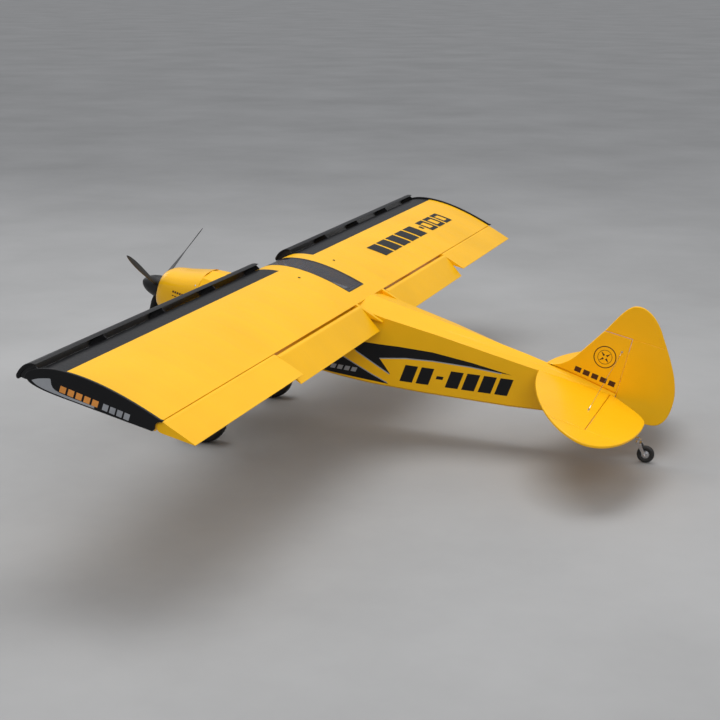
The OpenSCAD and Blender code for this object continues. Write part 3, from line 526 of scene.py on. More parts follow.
def centre_section():
    """Covered middle of the wing, with the opening under the skylight."""
    form = Form()
    xs = [SHROUD_X + (SKYLIGHT_X - SHROUD_X) * i / 4 for i in range(4)]
    xs += [SKYLIGHT_X * (i / 24) ** 1.6 for i in range(24, -1, -1)]
    ys = [-CABIN_W, -95, -SKYLIGHT_W, -35, 0, 35, SKYLIGHT_W, 95, CABIN_W]
    tops = [(x, top_z(x)) for x in xs]
    unders = [(x, lower(-x / CHORD) * CHORD) for x in (-1, -4, -9, -14)]
    outline = [(SHROUD_X, 0.0)] + tops + unders
    thick = 2.0
    inner = [(x + (thick if k < 1 else 0), z - (thick if 0 < k < len(outline) - 5 else 0))
        for k, (x, z) in enumerate(outline)]
    inner = [(min(x, -2.5), max(z, 0.2)) for x, z in inner]
    ids_out = [form.add([(x, y, z) for x, z in outline]) for y in ys]
    ids_in = [form.add([(x, y, z) for x, z in inner]) for y in ys]
    glass = [abs((ys[i] + ys[i + 1]) / 2) < SKYLIGHT_W for i in range(len(ys) - 1)]
    count = len(outline)
    solid = [[not (glass[i] and (outline[j][0] + outline[j + 1][0]) / 2 > SKYLIGHT_X
        and outline[j][1] > 10) for j in range(count - 1)] for i in range(len(ys) - 1)]
    for i in range(len(ys) - 1):
        for j in range(count - 1):
            if not solid[i][j]:
                continue
            a, b = ids_out[i], ids_out[i + 1]
            c, d = ids_in[i], ids_in[i + 1]
            form.face([a[j], b[j], b[j + 1], a[j + 1]])
            form.face([c[j], c[j + 1], d[j + 1], d[j]])
            if i == 0 or not solid[i - 1][j]:
                form.face([a[j], a[j + 1], c[j + 1], c[j]])
            if i == len(ys) - 2 or not solid[i + 1][j]:
                form.face([b[j + 1], b[j], d[j], d[j + 1]])
            if j == 0 or not solid[i][j - 1]:
                form.face([a[j], c[j], d[j], b[j]])
            if j == count - 2 or not solid[i][j + 1]:
                form.face([a[j + 1], b[j + 1], d[j + 1], c[j + 1]])
    build("wing_centre_film", form, "airframe", "covering", ["wing_center_section"], 40)


def skylight():
    """Curved pane in the middle of the wing, with black tape over its edges."""
    form = Form()
    w = SKYLIGHT_W - 0.4
    xs = [(SKYLIGHT_X + 0.4) * (i / 30) ** 1.6 for i in range(30, -1, -1)]
    outer = [(x, top_z(x)) for x in xs] + [(-0.4, 12.5)]
    inner = [(x - 0.6 if x > -30 else x, z - 1.4) for x, z in outer]
    rings = [[(x, y, z) for x, z in outer] + [(x, y, z) for x, z in reversed(inner)]
        for y in (-w, -w / 2, 0, w / 2, w)]
    form.rings(rings)
    build("skylight_glass", form, "airframe", "glazing", ["skylight"], 40)
    trim = Form()
    for s in (1, -1):
        strip(trim, [(x, s * (w - 5), s * (w + 1)) for x in xs], wing_top)
    strip(trim, [(SKYLIGHT_X - 1 + k, -w, w) for k in (0, 5)], wing_top)
    build("skylight_trim", trim, "airframe", "black_plastic")


# ---------------------------------------------------------------- marks laid on the surfaces

def wing_top(u, v, lift):
    """On the wing's upper side: u along x, v along y."""
    return (u, v, top_z(min(0, u)) + lift)


def side_width(x):
    """Half width of the fuselage at x."""
    stations = [(-1242, 10.5), (-1120, 28), (-930, 56), (-655, 95), (-475, 118), (-372, 120), (50, 120)]
    for (x0, w0), (x1, w1) in zip(stations, stations[1:]):
        if x <= x1:
            return w0 + (w1 - w0) * (x - x0) / (x1 - x0)
    return 120.0


def body_side(side):
    return lambda u, v, lift: (u, side * (side_width(u) + lift), v)


def strip(form, rows, place, lift=0.25):
    """Thin mark between two edges; each row is (u, v0, v1)."""
    across = 3
    up, down = ([form.add([place(u, a + (b - a) * k / across, level) for k in range(across + 1)])
        for u, a, b in rows] for level in (lift, 0.05))
    for i in range(len(rows) - 1):
        for k in range(across):
            form.face([up[i][k], up[i][k + 1], up[i + 1][k + 1], up[i + 1][k]])
            form.face([down[i][k], down[i + 1][k], down[i + 1][k + 1], down[i][k + 1]])
        form.face([up[i][0], up[i + 1][0], down[i + 1][0], down[i][0]])
        form.face([up[i][across], down[i][across], down[i + 1][across], up[i + 1][across]])
    for i in (0, len(rows) - 1):
        form.face(up[i] + down[i][::-1])


def along(points, x):
    """Height of a polyline of (x, z), x rising, at x."""
    for (x0, z0), (x1, z1) in zip(points, points[1:]):
        if x <= x1:
            return z0 + (z1 - z0) * (x - x0) / (x1 - x0)
    return points[-1][1]


def between(top, bottom, x0, x1, step=6.0):
    """Rows of a strip between two polylines, with their corners kept."""
    n = max(2, round((x1 - x0) / step))
    corners = {p[0] for p in top + bottom if x0 < p[0] < x1}
    xs = sorted({x0 + (x1 - x0) * i / n for i in range(n + 1)} | corners)
    return [(x, along(bottom, x), along(top, x)) for x in xs]


def bars(form, start, count, pitch, width, height, lean, place, hollow=False, lift=0.25):
    """Row of leaning blocks along u from start (u, v); v0 is the foot of each."""
    for i in range(count):
        u, v = start[0] + pitch * i, start[1]
        if hollow:
            edge = height * 0.22
            pieces = [((0, 0), (width, edge)), ((0, height - edge), (width, height)),
                ((0, edge), (edge, height - edge)), ((width - edge, edge), (width, height - edge))]
        else:
            pieces = [((0, 0), (width, height))]
        for (a0, b0), (a1, b1) in pieces:
            rows = [(v + b, u + a0 + lean * b, u + a1 + lean * b)
                for b in (b0 + (b1 - b0) * k / 4 for k in range(5))]
            strip(form, rows, place, lift)


def fuselage_marks():
    """Two black flashes on each side, grey pinstripes along them, and plain blocks behind."""
    upper_top = [(-914, -56), (-780, -52.5), (-650, -55), (-540, -68.5), (-433, -86), (-330, -104)]
    upper_low = [(-914, -56), (-780, -66), (-657, -82), (-570, -99), (-486, -124), (-403, -124),
        (-330, -104)]
    spike_top = [(-534, -168), (-486, -124), (-403, -124)]
    spike_low = [(-534, -168), (-470, -145), (-403, -124)]
    lower_top = [(-535, -202), (-366, -160), (-270, -143), (-180, -152), (-80, -190), (20, -233)]
    lower_low = [(-535, -202.5), (-487, -206), (-344, -222), (-200, -233), (20, -237)]
    for side, name in ((1, "left"), (-1, "right")):
        place = body_side(side)
        black = Form()
        strip(black, between(upper_top, upper_low, -914, -330), place)
        strip(black, between(spike_top, spike_low, -534, -403), place)
        if side > 0:
            strip(black, between(lower_top, lower_low, -535, 20), place)
        else:
            strip(black, between(lower_top, lower_low, -535, -233), place)
            strip(black, between(lower_top, lower_low, -57, 20), place)
            door = Form()
            inside = [(x, max(z, -220.0)) for x, z in lower_low]
            strip(door, between(lower_top, inside, -227, -63), place)
            build("right_door_flash", door, "lower_door", "black_covering")
        # plain blocks in place of a registration
        letter = mirror_marks(place, side)
        for u0, n in ((0, 2), (148, 4)):
            bars(black, (u0, 0), n, 53, 41, 58, 0.12, letter)
        bars(black, (113, 24), 1, 30, 22, 11, 0.12, letter)
        build(name + "_side_flash", black, "airframe", "black_covering")
        grey = Form()
        edge = [(x, z - 3.4) for x, z in upper_low[:5]]
        strip(grey, between(upper_low[:5], edge, -880, -486), place)
        strip(grey, between(spike_low, [(x, z - 3.4) for x, z in spike_low], -530, -403), place)
        low_edge = [(x, z + 3.2) for x, z in lower_top]
        if side > 0:
            strip(grey, between(low_edge, lower_top, -530, -180), place)
            bars(grey, (-238, 8), 4, 24, 17, 15, 0.2, letter, lift=0.5)
        build(name + "_side_pinstripe", grey, "airframe", "grey_trim")


def mirror_marks(place, side):
    """Marks read from nose to tail on the left side, and from tail to nose on the right."""
    start, foot, slope = -568.0, -181.0, 0.152

    def put(u, v, lift):
        x = start - u if side > 0 else start - 395 + u
        return place(x, foot + v + slope * (start - x), lift)
    # marks run along v with rows over their height, so the strip's axes are swapped
    return lambda v, u, lift: put(u, v, lift)


def wing_marks():
    """Plain leaning blocks on the right wing's upper side."""
    black = Form()
    place = lambda v, u, lift: wing_top(-262 + v, -(462 + u), lift)
    bars(black, (0, 0), 5, 103, 84, 74, -0.25, place)
    bars(black, (524, 28), 1, 30, 20, 20, -0.25, place)
    bars(black, (566, 0), 3, 95, 78, 74, -0.25, place, hollow=True)
    build("wing_blocks", black, "airframe", "black_covering")


# crescent round the nose of a tip plate, drawn out into a thin line
SWEEP_TOP = [(-196, 9.5), (-130, 10), (-98, 11.5), (-84, 14), (-76, 18), (-70.5, 25), (-68, 33),
    (-66.5, 37.5), (-64, 38.5), (-58, 37), (-46, 33), (-34, 28.5), (-24, 23.5), (-16, 18.5)]
SWEEP_LOW = [(-196, 4), (-110, 4.2), (-80, 5), (-60, 6), (-46, 7.5), (-34, 9.5), (-26, 12),
    (-20, 15), (-16, 17.5)]


def tip_marks():
    """Blocks and a crescent on the outer face of each tip plate."""
    for side, name in ((1, "left"), (-1, "right")):
        place = lambda u, v, lift: (u, side * (HALF + TIP_T + lift), v)
        across = lambda v, u, lift: place(-95 - u, 14 + v - 0.045 * u, lift)
        orange = Form()
        bars(orange, (0, 0), 5, 23, 17, 17, 0.1, across)
        build(name + "_tip_blocks", orange, "airframe", "orange_trim")
        grey = Form()
        bars(grey, (122, 0), 4, 20, 15, 17, 0.1, across)
        strip(grey, between(SWEEP_TOP, SWEEP_LOW, -196, -16, 3.0), place)
        build(name + "_tip_sweep", grey, "airframe", "grey_trim")


def fin_marks():
    """Two rings with four tapered spokes and a row of blocks on each side of the fin."""
    cx, cz = -1176, 83
    for side, name in ((1, "left"), (-1, "right")):
        place = lambda u, v, lift: (u, side * (TAIL_T / 2 + lift), v)
        brown = Form()
        for r0, r1 in ((33.5, 36.5), (22, 23.5)):
            loop = [(2 * math.pi * k / 48, r0, r1) for k in range(49)]
            strip(brown, loop,
                lambda a, r, lift: place(cx + r * math.cos(a), cz + r * math.sin(a), lift))
        for k in range(4):
            a = math.radians(45 + 90 * k)
            rows = [(r, -3.6 * (22 - r) / 16, 3.6 * (22 - r) / 16) for r in (6, 10, 14, 18, 21)]
            strip(brown, rows, lambda r, w, lift: place(cx + r * math.cos(a) - w * math.sin(a),
                cz + r * math.sin(a) + w * math.cos(a), lift))
        across = lambda v, u, lift: place(-1093 - u, 9 + v - 0.09 * u, lift)
        bars(brown, (0, 0), 5, 29, 21, 17, 0.1, across)
        build(name + "_fin_marks", brown, "airframe", "brown_trim")


# ---------------------------------------------------------------- slats, flaps, ailerons, tips

def slats():
    """Fixed slat ahead of each wing half: a curved blade with a rounded nose."""
    outline = curve((-13, 57), (5, 59.5), (25, 46), (34, 15), 20)
    outline += curve((34, 15), (35, 8), (30, 2), (25, 6), 8)
    outline += curve((25, 6), (26, 22), (12, 46), (-12, 55.6), 18) + [(-12, 55.6)]
    form = Form()
    for side in (1, -1):
        slab(form, outline, FLAP_ROOT, HALF, standing(side), 0.5, 2)
    build("slat_covers", form, "airframe", "black_covering", ["slats"], 38)


def panel_ring():
    """Section of a flap or aileron; each point is (x, z, slack)."""
    nose = COVE_R - GAP - 0.3
    out = []
    for i in range(15):
        t = 1 - (1 - 0.818) * i / 14
        out.append((-t * CHORD, top_z(-t * CHORD), math.sin(math.pi * i / 14) ** 0.5))
    for i in range(15):
        a = math.radians(100 - 196 * i / 14)
        x, z = HINGE_X + nose * math.cos(a), HINGE_Z + nose * math.sin(a)
        out.append((x, min(28.6, max(0.2, z)), 0))
    for i in range(12):
        t = 0.82 + 0.18 * i / 11
        out.append((-t * CHORD, 0.0, -math.sin(math.pi * i / 11) ** 0.5 if 0 < i < 11 else 0))
    return out


def control_panel(name, side, y0, y1, droop):
    """Covered flap or aileron with ribs that show."""
    form = Form()
    rib_spacing = 110
    n = round((y1 - y0) / rib_spacing)
    ribs = [y0 + (y1 - y0) * i / n for i in range(n + 1)]
    stations = [(min(max(y, y0), y1), s) for y, s in bays(ribs, 6, 2.0)]
    ring = panel_ring()

    def put(x, y, z):
        x, z = turned(x, z, HINGE_X, FLAP_HINGE_Z, droop) if droop else (x, z)
        return (x, side * y, z)
    form.rings([[put(x, y, z - PANEL_SAG * s * k) for x, z, k in ring] for y, s in stations])
    x, y = HINGE_X, LINK_Y[name]
    arm = 24.0 if droop else 30.0
    foot = (FLAP_HINGE_Z if droop else HINGE_Z) - arm - 4
    plates = [([(x + 5, foot), (x - 5, foot), (x - 20, 2.0), (x + 1, 2.0)], y - 1.5, y + 1.5)]
    if droop:
        bracket = [(x + 6, -20), (x - 6, -20), (x - 30, 2), (x + 6, 2)]
        plates += [(bracket, q, q + 3) for q in (190, 500, 790)]
    horns = Form()
    for outline, a, b in plates:
        slab(horns, outline, a, b, lambda u, v, w: put(u, w, v), 0.6, 3)
    full = ("left_" if side > 0 else "right_") + name
    build(full + "_film", form, full, "covering", [full], 40)
    build(full + "_horn", horns, full, "black_plastic")


def tip_plates():
    """Plate at each wing tip, a little proud of the wing's section."""
    proud, shroud = 6.5, -SHROUD_X / CHORD
    n = 28
    outline = [(-382.0, 37.0)]
    for i in range(n, -1, -1):
        t = shroud * (i / n) ** 2
        over = proud * (0.4 + 0.6 * min(1, 2.8 * i / n))
        outline.append((proud * (1 - i / n) - t * CHORD, top_z(-t * CHORD) + over))
    outline += [(6.3, 17.5), (4.0, 14.0)]
    for i in range(1, n + 1):
        t = 0.758 * (i / n) ** 2
        outline.append((-t * CHORD, lower(t) * CHORD))
    r = COVE_R + 0.5
    for i in range(11):
        a = math.radians(-24 + 114 * i / 10)
        outline.append((HINGE_X + r * math.cos(a), HINGE_Z + r * math.sin(a)))
    form = Form()
    for side in (1, -1):
        slab(form, outline, HALF, HALF + TIP_T, standing(side), 2.2, 4)
    build("tip_plate_covers", form, "airframe", "black_covering", ["tip_plates"], 38)


# ---------------------------------------------------------------- tail

STAB = (curve((-991, 47.4), (-1002, 225), (-1108, 485), (-1224, 521), 30)
    + curve((-1224, 521), (-1310, 548), (-1380, 360), (-1369, 169), 30)
    + curve((-1369, 169), (-1368, 110), (-1320, 80), (-1261, 33), 14)
    + [(-1261, 33), (-1234, 14.5), (-1226, 13.6)])
FIN = (curve((-1005, 5), (-1042, 7), (-1073, 35), (-1090, 63), 12)
    + [(-1090, 63), (-1151, FIN_TOP), (RUDDER_X + 5.5, FIN_TOP), (RUDDER_X + 5.5, -20.9), (-1120, -4.6)])
RUDDER = (curve((-1152, FIN_TOP + 2), (-1172, 200), (-1195, 262), (-1225, 271), 12)
    + curve((-1225, 271), (-1262, 282), (-1302, 250), (-1329, 207), 12)
    + curve((-1329, 207), (-1366, 150), (-1414, 85), (-1421, 16), 20)
    + curve((-1421, 16), (-1425, -45), (-1412, -85), (-1366, -88), 12)
    + [(-1366, -88), (RUDDER_X, -100)])


HINGE_LAP = 4.3  # how far a hinged surface reaches ahead of its hinge line


def clipped(outline, keep):
    """Part of an outline on one side of a line: keep(p) is positive inside."""
    out = []
    for p, q in zip(outline, outline[1:] + outline[:1]):
        a, b = keep(p), keep(q)
        if a >= 0:
            out.append(p)
        if a * b < 0:
            f = a / (a - b)
            out.append((p[0] + (q[0] - p[0]) * f, p[1] + (q[1] - p[1]) * f))
    return [p for i, p in enumerate(out) if math.dist(p, out[i - 1]) > 1.5]


def tail_plane(side):
    def place(u, v, w):
        x, z = turned(u, ELEV_Z + w, ELEV_X, ELEV_Z, STAB_SLOPE)
        return (x, side * v, z)
    return place


def tail():
    """Flat stabilizer, elevators, fin and rudder with rounded edges, and their horns."""
    r = TAIL_T / 2
    stab = Form()
    elevators = Form()
    for side in (1, -1):
        place = tail_plane(side)
        fixed = clipped(clipped(STAB, lambda p: HORN_Y - p[1]), lambda p: p[0] - (ELEV_X + r + GAP))
        slab(stab, fixed, -r, r, place, 3.6, 6)
        inner = clipped(clipped(STAB, lambda p: ELEV_X + HINGE_LAP - p[0]),
            lambda p: HORN_Y + 2 * GAP + 1 - p[1])
        horn = clipped(STAB, lambda p: p[1] - HORN_Y - 2 * GAP)
        slab(elevators, inner, -r, r, place, 3.4, 6)
        slab(elevators, horn, -r, r, place, 3.4, 6)
    for x in (-1050, -1205):
        z = ELEV_Z + (x - ELEV_X) * math.tan(math.radians(STAB_SLOPE))
        reach = 47.4 - (-991 - x) * (47.4 - 13.6) / 235
        revolve(stab, [(3, -reach - 1), (3, reach + 1)], about_y(x, z), 24)
    revolve(elevators, [(3, -20), (3, 20)], about_y(ELEV_X, ELEV_Z), 24)
    build("stabilizer_film", stab, "airframe", "covering", ["stabilizer"], 30)
    build("elevator_film", elevators, "elevators", "covering", ["elevators"], 30)
    horns = Form()
    x, z = ELEV_X, ELEV_Z
    outline = [(x + 5, z - 29), (x - 5, z - 29), (x - 20, z - 2), (x + 1, z - 2)]
    slab(horns, outline, -38.5, -35.5, standing(), 0.6, 3)
    build("elevator_horn", horns, "elevators", "black_plastic")

    fin = Form()
    slab(fin, FIN, -r, r, standing(), 3.4, 6)
    build("fin_film", fin, "airframe", "covering", ["fin"], 30)
    rudder = Form()
    lower_part = clipped(clipped(RUDDER, lambda p: RUDDER_X + HINGE_LAP - p[0]),
        lambda p: FIN_TOP + 4 - p[1])
    upper_part = clipped(RUDDER, lambda p: p[1] - FIN_TOP - 2)
    for part in (lower_part, upper_part):
        slab(rudder, part, -r, r, standing(), 3.4, 6)
    build("rudder_film", rudder, "rudder", "covering", ["rudder"], 30)
    horn = Form()
    x = RUDDER_X
    outline = [(x - 6, -3.5), (x - 22, -3.5), (x - 5, -28), (x + 4, -28), (x + 4, -20)]
    slab(horn, outline, -93.5, -90.5, lambda u, v, w: (u, v, w), 0.6, 3)
    build("rudder_horn", horn, "rudder", "black_plastic")


# ---------------------------------------------------------------- nose

# stations of the cowl as (x, half width, top, bottom), each a superellipse of this power
COWL = [(200.5, 101, -60, -249), (285, 97, -84, -248), (325, 87, -92, -245), (347, 76, -99, -239),
    (359, 66, -110, -232), (365, 56, -128, -223)]
SQUARENESS = 0.72


def smooth_stations(stations):
    """Catmull-Rom stations between the given ones, five steps to each."""
    out = []
    n, per = len(stations), 5
    for i in range(n - 1):
        p0, p1 = stations[max(0, i - 1)], stations[i]
        p2, p3 = stations[i + 1], stations[min(n - 1, i + 2)]
        for k in range(per):
            t = k / per
            out.append(tuple(0.5 * (2 * b + (c - a) * t + (2 * a - 5 * b + 4 * c - d) * t * t
                + (3 * b - a - 3 * c + d) * t ** 3) for a, b, c, d in zip(p0, p1, p2, p3)))
    return out + [stations[-1]]


def intake(a):
    """Radius of the nose opening: the spinner's hole with a lobe each side for cooling air."""
    best, lobe = SPINNER_R + 2, 14
    d = Vector((math.cos(a), math.sin(a)))
    for y in (-38, 38):
        c = Vector((y, -12))
        along_ray, off = d.dot(c), abs(d.x * c.y - d.y * c.x)
        if off < lobe and along_ray > 0:
            best = max(best, min(51, along_ray + math.sqrt(lobe * lobe - off * off)))
    return best


def cowl_ring(station, draw=0.0):
    """Ring of the cowl at a station, drawn in by the shell's thickness for the inside."""
    n = 96
    x, w, high, low = station
    w, h, m = w - draw, (high - low) / 2 - draw, (high + low) / 2
    out = []
    for k in range(n):
        a = 2 * math.pi * k / n
        c, s = (math.copysign(abs(f) ** SQUARENESS, f) for f in (math.cos(a), math.sin(a)))
        out.append((x, w * c, m + h * s))
    return out


def cowl_side(x, z):
    """Half width of the cowl at a place on its side."""
    stations = smooth_stations(COWL)
    for a, b in zip(stations, stations[1:]):
        if x <= b[0]:
            f = (x - a[0]) / (b[0] - a[0])
            w, high, low = [p + (q - p) * f for p, q in zip(a[1:], b[1:])]
            s = min(1, abs(2 * z - high - low) / (high - low)) ** (1 / SQUARENESS)
            return w * (1 - s * s) ** (SQUARENESS / 2)
    return 0.0


def cowling():
    """Moulded cowl, a shell that turns in at the nose opening."""
    stations = smooth_stations(COWL)
    rings = [cowl_ring(s) for s in stations]
    n = len(rings[0])
    turns = [2 * math.pi * k / n for k in range(n)]
    for x, wider in ((366.0, 0.0), (363.0, 1.2), (357.0, 1.5)):
        rings.append([(x, (intake(a) + wider) * math.cos(a), PROP_Z + (intake(a) + wider) * math.sin(a))
            for a in turns])
    rings += [cowl_ring(s, 2.5) for s in reversed(stations[:-4])] + [rings[0]]
    form = Form()
    form.rings(rings, caps=False)
    build("cowl_shell", form, "airframe", "painted_cowl", ["cowling"], 50)
    marks = Form()
    for side in (1, -1):
        put = lambda x, z, lift: (x, side * (cowl_side(x, z) + lift), z)
        place = lambda v, u, lift: put(290 - u, -148 + v, lift)
        bars(marks, (0, 0), 5, 9, 6.5, 7, 0.1, place)
        bars(marks, (2, -12), 4, 9, 6.5, 3.5, 0.1, place)
    build("cowl_marks", marks, "airframe", "brown_trim")


ROOT_D = 16  # thickness of a blade where it leaves the hub


def blade_section(r):
    """Twisted section of a blade at radius r, round at the root."""
    count = 20
    f = r / PROP_R
    w = 40 * math.sqrt(max(0.01, 1 - f ** 6)) * (0.62 + 0.85 * f - 0.95 * f * f)
    t = 2 + 10 * (1 - f) ** 2
    a = math.radians(68 - 52 * f ** 0.7)
    root = min(1, max(0, (r - 20) / 42))
    root = root * root * (3 - 2 * root)
    w, t = ROOT_D + (w - ROOT_D) * root, ROOT_D + (t - ROOT_D) * root
    out = []
    for k in range(count):
        u = 2 * math.pi * k / count
        x = t / 2 * math.cos(u) * (1 - 0.25 * math.sin(u) * root)
        y = w / 2 * math.sin(u)
        out.append((x * math.cos(a) - y * math.sin(a), y * math.cos(a) + x * math.sin(a), r))
    return out


def propeller():
    """Three twisted blades on a hub, and the spinner with its back plate."""
    form = Form()
    sections = [blade_section(12 + (PROP_R - 12) * (k / 36)) for k in range(37)]
    for i in range(3):
        q = math.radians(180 + 120 * i)
        c, s = math.cos(q), math.sin(q)
        form.rings([[(PROP_X + x, y * c - z * s, PROP_Z + y * s + z * c) for x, y, z in section]
            for section in sections])
    revolve(form, [(4.1, -10), (16, -10), (17, -9), (17, 9), (16, 10), (4.1, 10)],
        lambda a, r, w: (PROP_X + w, r * math.cos(a), PROP_Z + r * math.sin(a)), closed=True)
    build("propeller_blades", form, "propeller", "carbon", ["propeller"], 50)
    nose = Form()
    outer = [(SPINNER_R * (1 - (i / 28) ** 2) ** 0.6, 376 + 74 * i / 28) for i in range(28)]
    outer.append((0.01, 450.0))
    inner = [(max(0.01, r - 2.5), w - 3) for r, w in reversed(outer)]
    revolve(nose, [(SPINNER_R - 2.5, 376.0)] + outer + inner, about_x(0, PROP_Z), 72, closed=True)
    r = SPINNER_R
    plate = [(4.1, 371), (r - 0.8, 371), (r, 371.8), (r, 374.4), (r - 0.8, 375.2), (4.1, 375.2)]
    revolve(nose, plate, about_x(0, PROP_Z), 72, closed=True)
    build("spinner_shell", nose, "propeller", "black_plastic", ["spinner"], 40)


# ---------------------------------------------------------------- wheels

def tyre_profile(r_bead, w_bead, r_out, w_out, grooves):
    """Half of a balloon tyre's section, mirrored; grooves are (y, width, depth) round the tread."""
    top = curve((r_bead, -w_bead), (r_bead + 8, -w_out * 1.125), (r_out, -w_out * 1.125), (r_out, 0), 24)
    shaped = []
    for r, y in top + [(r_out, 0.0)]:
        cuts = [gd * max(0.0, 1 - (abs(abs(y) - gy) / gw) ** 4) for gy, gw, gd in grooves]
        shaped.append((r - max(cuts), y))
    return shaped + [(r, -y) for r, y in reversed(shaped[:-1])]


def both_sides(face):
    """Profile of a hub from one face of it, given from the bore outward."""
    return [(r, -w) for r, w in face] + face[::-1]


def main_wheel(side):
    """Tyre with grooves and cross blocks, hub with six screws a side, and the axle's collar."""
    name = "left" if side > 0 else "right"
    place = lambda a, r, w: (MAIN_X + r * math.cos(a), side * (TRACK + w), MAIN_Z + r * math.sin(a))
    tyre = Form()
    profile = tyre_profile(32, 24, TYRE_R, TYRE_W / 2, ((9, 1.6, 1.2), (20, 1.4, 1.0)))
    revolve(tyre, profile + [(34, 20), (34, -20)], place, 128, closed=True)
    for k in range(36):
        a0 = 2 * math.pi * k / 36
        for s in (1, -1):
            rows = [(s * (13.5 + 4.2 * q / 3), a0 - 0.045, a0 + 0.045) for q in range(4)]
            strip(tyre, rows,
                lambda y, a, lift: place(a, TYRE_R - 0.00184 * y * y - 1.2 + lift * 2.2, y))
    build(name + "_tyre_rubber", tyre, name + "_wheel", "tyre", [name + "_tyre"], 40)
    hub = Form()
    face = [(5.06, 32), (11, 32), (12, 31), (12.5, 25), (15, 22), (24, 19), (28, 21), (31.6, 24),
        (31.9, 23)]
    revolve(hub, both_sides(face), place, 72, closed=True)
    for k in range(6):
        a = 2 * math.pi * k / 6
        for s in (1, -1):
            screw(hub, place(a, 20, s * 20.2), (0, side * s, 0), 2.2, 2.0)
    build(name + "_hub_moulding", hub, name + "_wheel", "black_plastic", [name + "_hub"], 30)
    cap = Form()
    revolve(cap, [(0.01, 43.6), (3.2, 43.6), (4.6, 42.6), (5.4, 40), (5.4, 34.2), (0.01, 34.2)], place, 24)
    build(name + "_axle_collar", cap, name + "_gear_leg", "alloy")


def tail_wheel():
    place = about_y(TAIL_X, TAIL_Z)
    tyre = Form()
    profile = tyre_profile(13, 7, TAIL_R, 9.3, ((3.4, 0.9, 0.5),))
    revolve(tyre, profile + [(14, 5), (14, -5)], place, 96, closed=True)
    build("tail_tyre_rubber", tyre, "tail_wheel", "tyre", ["tail_tyre"], 40)
    hub = Form()
    face = [(3.06, 7), (5.5, 7), (6, 6.4), (6.2, 4), (10, 3.4), (11.6, 4.4), (12.4, 6.6), (12.95, 6.6)]
    revolve(hub, both_sides(face), place, 64, closed=True)
    build("tail_hub_disc", hub, "tail_wheel", "alloy", ["tail_hub"], 30)
    nuts = Form()
    nut = [(0.01, 19.6), (2.6, 19.6), (3.0, 19.0), (5.0, 18.8), (5.2, 18.2), (5.2, 16.2), (0.01, 16.2)]
    for s in (1, -1):
        revolve(nuts, nut, about_y(TAIL_X, TAIL_Z, s), 6)
    build("tail_axle_nuts", nuts, "tail_fork", "chrome")


# ---------------------------------------------------------------- small fittings

def band(form, outline, width, place):
    """Raised band round an opening."""
    lift = 0.6
    inner, outer = inset(outline, -0.2), inset(outline, -width)
    loops = [(inner, 0.05), (outer, 0.05), (outer, lift), (inner, lift), (inner, 0.05)]
    form.rings([[place(u, v, h) for u, v in loop] for loop, h in loops], caps=False)


def cabin():
    """Window trim, the upper door's pane and the doors' latch."""
    trim = Form()
    band(trim, [(-20, -95), (-20, -14), (-330, -14), (-250, -95)], 5.0, body_side(1))
    build("side_window_trim", trim, "airframe", "black_plastic")
    opening = [(-212, -99.5), (-212, -25), (-78, -25), (-78, -99.5)]
    pane = Form()
    slab(pane, inset(opening, 0.4), CABIN_W - 1.35, CABIN_W - 0.3, lambda u, v, w: (u, -w, v), 0.2, 2)
    build("upper_door_pane", pane, "upper_door", "glazing")
    frame_band = Form()
    band(frame_band, opening, 4.0, body_side(-1))
    build("upper_door_trim", frame_band, "upper_door", "black_plastic")
    latch = Form()
    revolve(latch, [(4.6, 0.05), (4.6, 1), (4, 1.6), (4, 4.6), (3.4, 5.4), (0.01, 5.4)],
        about((-145, -CABIN_W, -121), (0, -1, 0)), 32)
    build("door_latch", latch, "lower_door", "alloy")


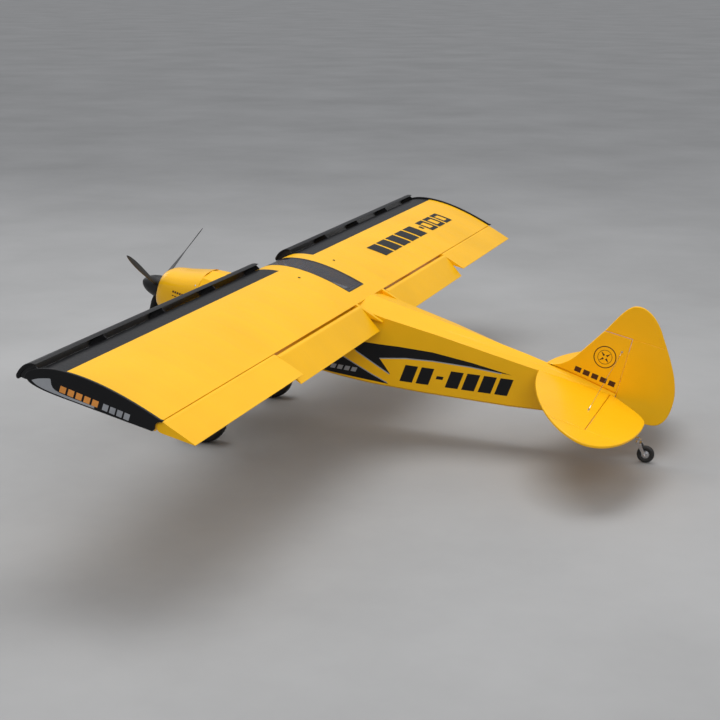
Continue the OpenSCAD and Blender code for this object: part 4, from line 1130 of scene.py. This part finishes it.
def fittings():
    # one screw at each wing root, into the joiner tube's end block
    black = Form()
    for s in (1, -1):
        screw(black, wing_top(-170, s * 158, -0.4), (-0.03, 0, 1), 4.6, 1.4)
    build("panel_screws", black, "airframe", "black_steel")
    steel = Form()
    for s in (1, -1):
        for z in (-100, -210):
            screw(steel, (212, s * cowl_side(212, z), z), (0, s, 0), 2.8, 1.6)
    build("cowl_screws", steel, "airframe", "chrome")
    # tail brace wires, each with its clevises and screws
    braces = Form()
    level = ELEV_Z + 31 * math.tan(math.radians(STAB_SLOPE))
    for s in (1, -1):
        top = Vector((-1223, s * (TAIL_T / 2 + 2), 117))
        out = Vector((-1201, s * 238, level + TAIL_T / 2 + 2.3))
        under = Vector((-1201, s * 238, level - TAIL_T / 2 - 2.3))
        foot = Vector((-1160, s * 23.4, -112))
        for a, b in ((top, out), (out, top), (under, foot)):
            revolve(braces, [(0.6, 4), (1.3, 5), (1.3, 15), (0.9, 18), (0.6, 19)], about(a, b - a), 12)
        for a, b in ((top, out), (under, foot)):
            wire = [(0.5, 0), (0.5, (b - a).length)]
            revolve(braces, wire, about(a, b - a), 10, paint=lambda i, j: 1)
        screw(braces, (-1223, s * TAIL_T / 2, 117), (0, s, 0), 4.0, 4.0)
        screw(braces, (-1201, s * 238, level + TAIL_T / 2 + 0.3), (0, 0, 1), 4.0, 4.0)
        screw(braces, (-1201, s * 238, level - TAIL_T / 2 - 0.3), (0, 0, -1), 4.0, 4.0)
    build("brace_wires", braces, "airframe", ["chrome", "braided_wire"], ["tail_braces"])


def paint_frame():
    """Gives every CAD node the material of its slot."""
    slots = {s["node"]: s["material_slot"] for s in frame["record"]["subparts"]}
    for node, obj in frame["nodes"].items():
        mat = MATERIALS[slots[node]]
        if not obj.material_slots:
            obj.data.materials.append(mat)
        for slot in obj.material_slots:
            slot.material = mat


look()
stage()
paint_frame()
for side in (1, -1):
    wing_film(side)
    control_panel("aileron", side, FLAP_END + GAP / 2, HALF - GAP, 0)
    control_panel("flap", side, FLAP_ROOT, FLAP_END - GAP / 2, FLAP_DROOP)
    main_wheel(side)
centre_section()
skylight()
slats()
tip_plates()
tail()
cowling()
propeller()
tail_wheel()
fuselage_marks()
wing_marks()
tip_marks()
fin_marks()
cabin()
fittings()
